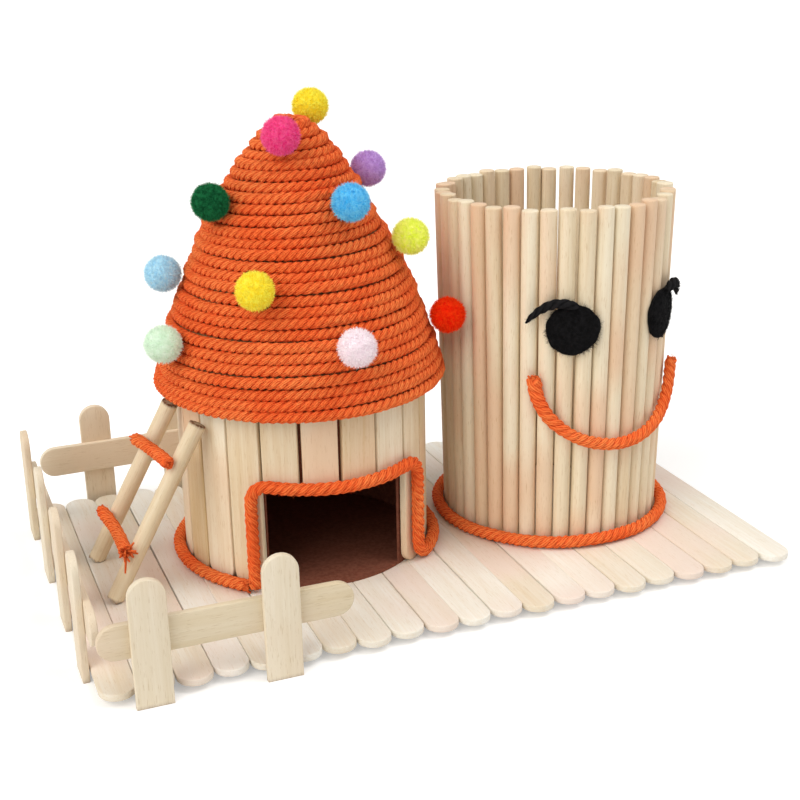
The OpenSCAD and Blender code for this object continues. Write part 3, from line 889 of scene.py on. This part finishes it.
def even_path(points, outs, step):
    """The same path with points a step apart, and the outward ways there."""
    points, outs = np.asarray(points, float), np.asarray(outs, float)
    run = np.concatenate([[0], np.cumsum(np.linalg.norm(np.diff(points, axis=0), axis=1))])
    places = np.linspace(0, run[-1], max(int(run[-1] / step), 8))
    spread = [np.interp(places, run, points[:, k]) for k in range(3)]
    ways = [np.interp(places, run, outs[:, k]) for k in range(3)]
    return np.stack(spread, 1), unit(np.stack(ways, 1))


def frame_of(points, outs):
    """Along, out and across at each point of a path."""
    along = unit(np.gradient(points, axis=0))
    out = unit(outs - np.sum(outs * along, axis=1, keepdims=True) * along)
    return along, out, np.cross(along, out)


def hairs(roots, ways, lengths, width, bend, root_light_share=0.0, tip_light_share=1.0, wrap_at=0.0):
    """Thin three-sided fibres, each bent sideways by its own vector, as one closed chunk. Their lift mark paints
    shade at the roots and keeps full colour at the tips.
    """
    n = len(roots)
    ways = unit(ways)
    first = unit(np.cross(ways, unit(rng.normal(size=(n, 3)))))
    second = np.cross(ways, first)
    rings = []
    for t, girth in ((0.0, 1.0), (0.55, 0.75)):
        centre = roots + ways * lengths[:, None] * t + bend * t * t
        for k in range(3):
            a = 2 * math.pi * k / 3
            rings.append(centre + width * girth * (math.cos(a) * first + math.sin(a) * second))
    rings.append(roots + ways * lengths[:, None] + bend)
    points = np.stack(rings, axis=1).reshape(-1, 3)
    base = np.arange(n)[:, None] * 7
    quads = np.concatenate([base + np.array([k, (k + 1) % 3, 3 + (k + 1) % 3, 3 + k]) for k in range(3)])
    tris = np.concatenate([base + np.array([3 + k, 3 + (k + 1) % 3, 6]) for k in range(3)]
                          + [base + np.array([2, 1, 0])])
    share = np.array([0, 0, 0, 0.55, 0.55, 0.55, 1.0])
    # lift along each fibre: painted shade at the root, full colour at the tip
    lift = np.tile(root_light_share + (tip_light_share - root_light_share) * share, n)
    wraps = [np.full(f.shape + (2,), wrap_at) for f in (quads, tris)]
    for w in wraps:
        w[..., 1] = rng.uniform(0, 50, (len(w), 1))
    return chunk(points, [quads, tris], wraps, lift=lift)


print("rope", round(ROPE_D / MM, 2), "mm, one turn of its strands every", LAY / MM, "mm")


# %% One rope
def sweep(centre, first, second, radius, sides, run, start=0.0, low=0.0):
    """A round yarn along a centre line. Its crown faces the first way, which gets the most lift: painted light
    on the crown, painted shade down to low underneath.
    """
    n = len(centre)
    a = np.arange(sides) / sides * 2 * math.pi
    ring = np.cos(a)[None, :, None] * first[:, None] + np.sin(a)[None, :, None] * second[:, None]
    skin = centre[:, None] + radius[:, None, None] * ring
    # lift is painted light on the yarn: highest on its crown, down to low underneath, where it paints shade
    lift = np.broadcast_to(low + (1 - low) * (0.5 + 0.5 * np.cos(a)) ** 0.8, (n, sides))
    i, j = (grid.ravel() for grid in np.meshgrid(np.arange(n - 1), np.arange(sides), indexing="ij"))
    nxt = (j + 1) % sides
    quads = np.stack([i * sides + j, i * sides + nxt, (i + 1) * sides + nxt, (i + 1) * sides + j], 1)
    u0, u1 = j / sides, (j + 1) / sides
    v0, v1 = run[i] / MM + start, run[i + 1] / MM + start
    wrap = np.stack([np.stack(corner, 1) for corner in ((u0, v0), (u1, v0), (u1, v1), (u0, v1))], 1)
    course = unit(np.stack([centre[0] - centre[1], centre[-1] - centre[-2]]))
    ends = np.stack([centre[0], centre[-1]]) + course * radius[[0, -1], None] * 0.4
    k = np.arange(sides)
    base = n * sides
    caps = np.concatenate([np.stack([(k + 1) % sides, k, np.full(sides, base)], 1),
                           np.stack([base - sides + k, base - sides + (k + 1) % sides,
                                     np.full(sides, base + 1)], 1)])
    light_shares = np.concatenate([lift.ravel(), [0.5, 0.5]])
    return chunk(np.concatenate([skin.reshape(-1, 3), ends]), [quads, caps],
                 [wrap, np.zeros(caps.shape + (2,))], lift=light_shares)


def rope(points, outs, diameter=ROPE_D, step=0.95 * MM, strands=3, sides=8, lay=LAY, girth=None, fuzz=1.2):
    """Strands wound round a path, closed at both ends, with loose fibres: fuzz is how many per mm."""
    points, outs = even_path(points, outs, step)
    along, out, across = frame_of(points, outs)
    n = len(points)
    run = np.concatenate([[0], np.cumsum(np.linalg.norm(np.diff(points, axis=0), axis=1))])
    girth = np.ones(n) if girth is None else np.interp(run / run[-1], *girth)
    slow = 0.35 * np.sin(run / MM * 0.11 + rng.uniform(0, 6)) + 0.2 * np.sin(run / MM * 0.37)
    parts = []
    for s in range(strands):
        turn = 2 * math.pi * (s / strands - run / lay) + slow
        away = np.cos(turn)[:, None] * out + np.sin(turn)[:, None] * across
        centre = points + 0.252 * diameter * girth[:, None] * away
        course = unit(np.gradient(centre, axis=0))
        first = unit(away - np.sum(away * course, axis=1, keepdims=True) * course)
        swell = 1 + 0.05 * np.sin(run / MM * 1.3 + rng.uniform(0, 6)) + 0.03 * np.sin(run / MM * 3.1 + s)
        parts.append(sweep(centre, first, np.cross(course, first), 0.27 * diameter * girth * swell, sides,
                           run, 40 * s))
    count = int(run[-1] / MM * fuzz)
    if count:
        at = rng.integers(1, n - 1, count)
        a = rng.uniform(-1.9, 1.9, count)
        away = np.cos(a)[:, None] * out[at] + np.sin(a)[:, None] * across[at]
        roots = points[at] + away * (0.44 * diameter * girth[at])[:, None]
        ways = away + rng.normal(0, 0.5, (count, 3)) + along[at] * rng.choice([-1, 1], count)[:, None] * 0.8
        lengths = rng.uniform(0.35, 1.0, count) * MM
        parts.append(hairs(roots, ways, lengths, 0.035 * MM, rng.normal(0, 0.25 * MM, (count, 3)), 0.8, 1.0))
    return parts


def frayed_end(place, way, spread, length, count):
    """A cut end of rope that opens into a brush: thick curling yarns, and fine fibres among them."""
    way = unit(way)
    side = unit(np.cross(way, unit(rng.normal(size=3))))
    other = np.cross(way, side)
    parts = []
    t = np.linspace(0, 1, 6)[:, None]
    for k in range(count):
        r = math.sqrt((k + 0.5) / count)
        a = 2.4 * k + rng.uniform(-0.3, 0.3)
        away = math.cos(a) * side + math.sin(a) * other
        root = place - way * 0.8 * MM + away * r * 0.36 * ROPE_D
        reach = length * rng.uniform(0.7, 1.15)
        curl = rng.normal(0, 0.22, 3) * reach
        line = root + way * (0.8 * MM + reach * t * (1 - 0.3 * spread * r * t))
        line = line + away * r * spread * reach * (0.5 * t + 0.5 * t * t) + curl * t * t
        course = unit(np.gradient(line, axis=0))
        first = unit(np.cross(course, np.roll(away, 1) + 0.3))
        girth = 0.36 * MM * np.interp(t[:, 0], [0, 0.7, 1], [1, 1, 0.75])
        parts.append(sweep(line, first, np.cross(course, first), girth, 6, t[:, 0] * reach, 3.0 * k, 0.6))
    n = 2 * count
    ways = way + rng.normal(0, 0.25 + 0.4 * spread, (n, 3))
    roots = place + rng.normal(0, 0.25 * ROPE_D, (n, 3)) * 0.8
    parts.append(hairs(roots, ways, length * rng.uniform(0.5, 1.0, n), 0.06 * MM,
                       rng.normal(0, 0.3 * MM, (n, 3)), 0.6, 1.0))
    return parts


# %% [markdown]
# ## Rope on the pot and the hut
# The routes repeat the frame's own routes: a ring round the foot of the pot, half an ellipse
# for the smile, and one length that climbs the left of the doorway, hangs over it, comes down
# the right and runs round the wall back to its start, where both ends are frayed.

# %% Ring and smile on the pot
POT_SKIN = POT_R + DOWEL_D / 2
ROPE_GAP = 0.15 * MM
FACE_DIR = -81


def pot_skin(height):
    """Radius of the pot at a height above the raft."""
    return POT_SKIN + height * math.tan(POT_LEAN)


def round_axis(axis, radius, degrees, heights):
    """Points and outward ways of a route round an axis."""
    degrees = np.asarray(degrees, float)
    points = around(axis, radius, degrees, DECK_TOP + np.asarray(heights, float))
    return points, around((0, 0), 1.0, degrees, 0.0)


def make_pot_ropes():
    """The ring at the foot, with its join at the back, and the smile."""
    degrees = np.linspace(80, 438.5, 240)
    half = PLUMP_D / 2
    sink = 0.12 * MM * np.sin(np.radians(degrees * 3)) + 0.08 * MM * np.sin(np.radians(degrees * 7))
    points, outs = round_axis(POT, pot_skin(ROPE_D) + ROPE_GAP + half, degrees, half + 0.2 * MM + sink)
    piece("pot_base_rope_twist", rope(points, outs, PLUMP_D), ORANGE_ROPE, "base", "orange_rope",
          "pot_base_rope")
    t = np.radians(np.linspace(180, 352, 120))
    heights = (55 + 22 * np.sin(t)) * MM
    points, outs = round_axis(POT, pot_skin(heights) + ROPE_GAP + half, FACE_DIR + 44 * np.cos(t), heights)
    ends = frayed_end(points[0], points[0] - points[2], 0.5, 1.1 * MM, 16)
    ends += frayed_end(points[-1], points[-1] - points[-3], 0.3, 0.9 * MM, 16)
    fat_start = ([0, 0.1, 0.25, 1], [1.22, 1.15, 1.0, 0.97])
    piece("smile_rope_twist", rope(points, outs, PLUMP_D, girth=fat_start) + ends, ORANGE_ROPE, "base",
          "orange_rope", "smile_rope")


make_pot_ropes()


# %% Rope round the doorway
def make_hut_rope():
    """One length of rope: up, over, down and round."""
    radius = math.hypot(HUT_R, STICK_W / 2) + 0.1 * MM + PLUMP_D / 2
    low = PLUMP_D / 2 + 0.1 * MM
    top = 32.5 * MM + ROPE_D / 2 - 0.4 * MM
    bend = 5 * MM
    sag = 1 * MM
    turn = math.degrees(bend / radius)
    left, right = DOOR_DIR - DOOR_ARC / 2 - 4, DOOR_DIR + DOOR_ARC / 2 + 6
    corner = np.radians(np.linspace(0, 90, 9))
    share = np.linspace(0, 1, 30)
    route = [(left, low + (top - bend - low) * k) for k in share[:-1]]
    route += [(left + turn * (1 - math.cos(c)), top - bend * (1 - math.sin(c))) for c in corner]
    over_from, over_to = left + turn, right - turn
    route += [(over_from + (over_to - over_from) * k, top - sag * math.sin(math.pi * k)) for k in share[1:-1]]
    route += [(right - turn * (1 - math.cos(c)), top - bend * (1 - math.sin(c))) for c in corner[::-1]]
    route += [(right, low + bend + (top - 2 * bend - low) * (1 - k)) for k in share[1:-1]]
    route += [(right + turn * (1 - math.cos(c)), low + bend * (1 - math.sin(c))) for c in corner]
    round_to = 360 + left - 4.6
    route += [(right + turn + (round_to - right - turn) * k, low) for k in np.linspace(0, 1, 160)[1:]]
    degrees, heights = np.array(route).T
    points, outs = round_axis(HUT, radius, degrees, heights)
    ends = frayed_end(points[0], points[0] - points[2], 0.3, 0.6 * MM, 14)
    ends += frayed_end(points[-1], points[-1] - points[-3], 0.6, 2.0 * MM, 16)
    for end in ends:
        end["points"][:, 2] = np.maximum(end["points"][:, 2], DECK_TOP + 0.02 * MM)
    piece("hut_rope_twist", rope(points, outs, PLUMP_D) + ends, ORANGE_ROPE, "base", "orange_rope",
          "hut_rope")


make_hut_rope()

# %% [markdown]
# ## Ladder rungs
# A rung is a short bit of rope glued across both rails. Its ends are cut, so the yarns spring
# open: the lower rung's front end like a brush, the upper one only a little.

# %% Ladder rungs
def make_rung(node, share_rear, share_front, front_spread, front_length):
    """A rope across both rails, lying on their outer side, slack between them."""
    rear = REAR_FOOT + share_rear * (REAR_TOP - REAR_FOOT)
    front = FRONT_FOOT + share_front * (FRONT_TOP - FRONT_FOOT)
    along = unit(front - rear)
    out = unit(np.cross(along, FRONT_FOOT - FRONT_TOP))
    out = out if out[2] > 0 else -out
    lift = DOWEL_D / 2 + ROPE_GAP + ROPE_D / 2
    middle = centre_of(node)
    shift = middle - ((rear + front) / 2 + lift * out)
    share = np.linspace(0, 1, 40)[:, None]
    over = 2 * MM
    start, end = rear - over * along, front + over * along
    points = start + (end - start) * share + lift * out + shift
    points = points - out * 1.1 * MM * np.sin(math.pi * share)
    outs = np.tile(out, (40, 1))
    ends = frayed_end(points[0], -along, 0.3, 1.0 * MM, 16)
    ends += frayed_end(points[-1], along, front_spread, front_length, 24)
    piece(node + "_twist", rope(points, outs, PLUMP_D) + ends, ORANGE_ROPE, "base", "orange_rope", node)


make_rung("ladder_rung_upper", 0.74, 0.77, 0.3, 1.0 * MM)
make_rung("ladder_rung_lower", 0.28, 0.28, 0.8, 2.6 * MM)

# %% [markdown]
# ## The roof's winding
# One rope winds from the rim to the tip round a bell-shaped cone of card. The cone's outline
# is the frame's formula. The winding climbs it at the same pitch as in the frame, and wanders
# in and out by fractions of a millimetre, because a hand laid it. Half way up the coil sits
# a little to one side, as the real one does, which gives the roof its stepped outline.

# %% Roof winding
CONE_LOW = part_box("roof_cone")[0].z
CONE_RIM = (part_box("roof_cone")[1].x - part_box("roof_cone")[0].x) / 2
CONE_H = 76.2 * MM
TURN_PITCH = 3.2 * MM
CONE_POWER, CONE_BLUNT = 1.2, 0.7


def winding_line():
    """Radius, height and outward slope of the winding's centre along the cone, and the run."""
    h = CONE_H * np.sin(np.radians(np.linspace(0, 90, 241)))
    r = CONE_RIM * (1 - (h / CONE_H) ** CONE_POWER) ** CONE_BLUNT
    line = np.stack([r, h], 1)
    way = unit(np.gradient(line, axis=0))
    square = np.stack([way[:, 1], -way[:, 0]], 1)
    line = line + square * (ROPE_GAP + ROPE_D / 2)
    run = np.concatenate([[0], np.cumsum(np.linalg.norm(np.diff(line, axis=0), axis=1))])
    return line, square, run


def make_winding():
    """The long rope of the roof."""
    line, square, run = winding_line()
    turns = (run[-1] - ROPE_D / 2 - 1.2 * MM) / TURN_PITCH
    phi = np.arange(0, turns * 360, 2.5)
    s = ROPE_D / 2 + TURN_PITCH * np.maximum(phi - 180, 0) / 360
    r, h = np.interp(s, run, line[:, 0]), np.interp(s, run, line[:, 1])
    nr, nh = np.interp(s, run, square[:, 0]), np.interp(s, run, square[:, 1])
    level = np.floor(phi / 360)
    a = np.radians(phi)
    wander = 0.22 * np.sin(a * 0.37) + 0.16 * np.sin(a * 1.13 + 2) + 0.14 * np.sin(level * 2.4 + 0.3 * np.sin(a))
    sway = 0.16 * np.sin(a * 0.71 + 1) + 0.12 * np.sin(a * 2.07)
    calm = np.clip(r / (12 * MM), 0, 1)
    r = r + (wander * nr - sway * nh) * calm * MM
    h = h + (wander * nh + sway * nr) * calm * MM
    degrees = 100 + phi
    points = around(HUT, r, degrees, CONE_LOW + h)
    drift = 1.1 * np.exp(-((h / MM - 51) / 6) ** 2) * MM
    points[:, 0] -= drift
    flat = around((0, 0), 1.0, degrees, 0.0)
    outs = unit(flat * nr[:, None] + Z * nh[:, None])
    *strands, fuzz = rope(points, outs, step=1.08 * MM, sides=7, fuzz=0.9)
    piece("roof_rope_twist", strands, ORANGE_ROPE, "roof", "orange_rope", "roof_rope")
    piece("roof_rope_fuzz", [fuzz], ORANGE_ROPE, "roof", "orange_rope")


make_winding()

# %% [markdown]
# ## Pompoms
# A pompom is a ball of short fibres. A bumpy ball gives it its body, and some thousands of thin
# bent fibres stand out from it, spread evenly by the golden angle. A particle system would do
# the same, but plain meshes keep the fibres in every export.

# %% Pompoms
# Each pompom has a root colour, a darker painted shade for deep among its fibres, and a tip colour, its own dyed
# colour.
POM_COLOURS = {
    "yellow": ("ffe62e", "fffb66"), "magenta": ("f03a8c", "ff78b4"), "purple": ("c79ae0", "e2c4f6"),
    "green": ("0a4a2a", "2a8c56"), "sky": ("4cc0f4", "92e4ff"), "lime": ("f2ff4e", "ffff9a"),
    "pale_blue": ("b0e2fa", "daf6ff"), "red": ("f82404", "ff5214"), "pale_pink": ("fcecf4", "fff8fb"),
    "mint": ("e2f8e2", "f2fff2"),
}
POM_SLOTS = {
    "yellow_top": "yellow", "yellow_low": "yellow", "back_yellow": "yellow", "magenta": "magenta",
    "back_pink": "magenta", "purple": "purple", "dark_green": "green", "sky_blue": "sky", "back_sky": "sky",
    "lime": "lime", "back_lime": "lime", "pale_blue": "pale_blue", "red": "red", "back_red": "red",
    "pale_pink": "pale_pink", "mint": "mint",
}
POM_FLUFF = {name: fluffy("pom_" + name, root, tip, 0.7) for name, (root, tip) in POM_COLOURS.items()}


def globe(rows=24):
    """A ball of quads with a fan at each pole: points and faces for a radius of 1."""
    columns = 2 * rows
    polar = np.linspace(0, math.pi, rows + 1)[1:-1]
    a = np.arange(columns) / columns * 2 * math.pi
    rings = [np.stack([math.sin(p) * np.cos(a), math.sin(p) * np.sin(a), np.full(columns, math.cos(p))], 1)
             for p in polar]
    points = np.concatenate(rings + [np.array([[0, 0, 1.0], [0, 0, -1.0]])])
    j = np.arange(columns)
    nxt = (j + 1) % columns
    quads = np.concatenate([np.stack([k * columns + j, (k + 1) * columns + j, (k + 1) * columns + nxt,
                                      k * columns + nxt], 1) for k in range(rows - 2)])
    last = (rows - 2) * columns
    pole = len(points) - 2
    tris = np.concatenate([np.stack([np.full(columns, pole), j, nxt], 1),
                           np.stack([last + nxt, last + j, np.full(columns, pole + 1)], 1)])
    return points, [quads, tris]


def pompom(node, count=3400):
    """A bumpy ball in the middle of the node's box, covered in fibres."""
    low, high = (np.array(c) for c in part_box(node))
    middle, radius = (low + high) / 2, (high[0] - low[0]) / 2
    ball, faces = globe()
    bumps = 1 + 0.02 * np.sin(ball @ rng.normal(0, 9, 3)) + 0.02 * np.sin(ball @ rng.normal(0, 13, 3))
    # The ball under the fibres takes a low lift: painted shade deep in the pompom.
    body = chunk(middle + ball * (0.9 * radius * bumps)[:, None], faces, lift=0.25)
    k = np.arange(count) + 0.5
    height = 1 - 2 * k / count
    flat = np.sqrt(1 - height ** 2)
    spin = math.pi * (1 + math.sqrt(5)) * k
    ways = np.stack([flat * np.cos(spin), flat * np.sin(spin), height], 1)
    ways = unit(ways + rng.normal(0, 0.02, (count, 3)))
    roots = middle + ways * 0.88 * radius
    lengths = radius * rng.uniform(0.12, 0.24, count)
    lean = unit(ways + rng.normal(0, 0.33, (count, 3)))
    bend = rng.normal(0, 0.035 * radius, (count, 3))
    fibres = hairs(roots, lean, lengths, 0.075 * MM, bend, 0.2, 1.0)
    short = node.replace("pompom_", "")
    colour = POM_SLOTS[short]
    piece(node + "_fluff", [body, fibres], POM_FLUFF[colour], "roof", "pom_" + colour, node)


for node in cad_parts:
    if node.startswith("pompom_"):
        pompom(node)

# %% [markdown]
# ## Felt eyes and yarn lashes
# Each eye is a domed pad of black felt pressed on to the round of the pot, so its grid is laid
# out flat and then wrapped round the pot's axis. Fibres lie on it every way and stand out at
# its edge. A lash is a bit of loosely twisted black yarn that thins to a point.

# %% Eyes
EYE_HEIGHT = 70 * MM
EYE_ARC = 27


def wrap_on_pot(x, z, lift, direction):
    """Flat eye coordinates, and a height off the pot, as points on the pot's skin."""
    radius = pot_skin(EYE_HEIGHT + z) + lift
    return around(POT, radius, direction + np.degrees(x / POT_SKIN), DECK_TOP + EYE_HEIGHT + z)


def make_eye(node, direction):
    """A domed felt disc with a fibrous edge."""
    radius = 1.06 * (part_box(node)[1].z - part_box(node)[0].z) / 2
    rings, columns = 12, 48
    a = np.arange(columns) / columns * 2 * math.pi
    edge = 1 + 0.02 * np.sin(3 * a + 1) + 0.012 * np.sin(7 * a) + 0.01 * np.sin(13 * a + 2)
    tops, unders = [], []
    for k in range(1, rings + 1):
        share = k / rings
        dome = 0.75 + 1.25 * math.sqrt(max(0.0, 1 - share ** 2.6))
        bumps = 0.06 * np.sin(5 * a + 9 * share) + 0.05 * np.sin(9 * a - 14 * share)
        x, z = share * radius * edge * np.cos(a), share * radius * edge * np.sin(a)
        tops.append(wrap_on_pot(x, z, (dome + bumps) * MM, direction))
        unders.append(wrap_on_pot(x, z, np.full(columns, 0.15 * MM), direction))
    middle = [wrap_on_pot(np.zeros(1), np.zeros(1), np.full(1, lift * MM), direction) for lift in (2.0, 0.15)]
    points = np.concatenate(tops + unders[::-1] + middle)
    j = np.arange(columns)
    nxt = (j + 1) % columns
    quads = np.concatenate([np.stack([k * columns + j, (k + 1) * columns + j, (k + 1) * columns + nxt,
                                      k * columns + nxt], 1) for k in range(2 * rings - 1)])
    last = (2 * rings - 1) * columns
    pole = 2 * rings * columns
    tris = np.concatenate([np.stack([np.full(columns, pole), j, nxt], 1),
                           np.stack([last + nxt, last + j, np.full(columns, pole + 1)], 1)])
    # The pad under the fibres takes a low lift: painted shade among the felt's fibres.
    body = chunk(points, [quads, tris], lift=0.35)
    count = 2600
    share = np.sqrt(rng.uniform(0, 1, count))
    turn = rng.uniform(0, 2 * math.pi, count)
    x, z = share * radius * np.cos(turn), share * radius * np.sin(turn)
    dome = 0.7 + 1.2 * np.sqrt(np.maximum(0, 1 - share ** 2.6))
    roots = wrap_on_pot(x, z, dome * MM, direction)
    swirl = turn + rng.normal(0, 1.6, count)
    reach = wrap_on_pot(x + np.cos(swirl) * MM, z + np.sin(swirl) * MM, dome * MM, direction) - roots
    out = around((0, 0), 1.0, direction + np.degrees(x / POT_SKIN), 0.0)
    ways = unit(reach) + out * rng.uniform(0.0, 0.55, count)[:, None]
    lengths = rng.uniform(0.6, 1.7, count) * MM
    bend = -out * 0.25 * MM + rng.normal(0, 0.2 * MM, (count, 3))
    fibres = hairs(roots, ways, lengths, 0.045 * MM, bend, 0.4, 1.0)
    piece(node + "_felt", [body, fibres], BLACK_FELT, "base", "black_felt", node)


make_eye("eye_left", FACE_DIR - EYE_ARC)
make_eye("eye_right", FACE_DIR + EYE_ARC)

# %% Lashes
LASH_YARN = 2.9 * MM


def make_lash(node, direction, side):
    """Black yarn from the top of the eye outwards, thinning to a point."""
    k = np.linspace(-1.6, 7, 46)
    eye_radius = (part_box("eye_left")[1].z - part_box("eye_left")[0].z) / 2
    start = eye_radius + 1.0 * MM
    heights = start + (0.8 * np.sin(np.pi * k / 7) - 0.12 * k * k) * MM
    degrees = direction + side * (3 + 2.6 * k)
    off = pot_skin(EYE_HEIGHT + start) + 2.0 * MM
    points = around(POT, off, degrees, DECK_TOP + EYE_HEIGHT + heights)
    outs = around((0, 0), 1.0, degrees, 0.0)
    thin = ([0, 0.12, 0.5, 0.85, 1.0], [0.6, 1.0, 1.0, 0.65, 0.2])
    parts = rope(points, outs, diameter=LASH_YARN, step=0.4 * MM, strands=3, sides=8, lay=9 * MM, girth=thin,
                 fuzz=14)
    piece(node + "_yarn", parts, BLACK_FELT, "base", "black_felt", node)


make_lash("lash_left", FACE_DIR - EYE_ARC, -1)
make_lash("lash_right", FACE_DIR + EYE_ARC, 1)

# %% [markdown]
# ## Card parts
# The card cone under the winding and the dark card cup inside the wall keep their shapes from
# the frame. They only need a card finish in their material slots. The cup's dark brown is
# partly card and partly painted shade: it stands for the shade inside the hut, on its wall
# and on the floor in the doorway.

# %% Card cone and liner
def finish_node(node, material):
    """Gives a carried-over part its material."""
    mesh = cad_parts[node].data
    mesh.materials.clear()
    mesh.materials.append(material)
    print(node, "gets", material.name)


finish_node("roof_cone", BROWN_CARD)
# The liner's dark brown is partly painted shade for the inside of the hut and its floor.
finish_node("hut_liner", DARK_CARD_AND_SHADE)
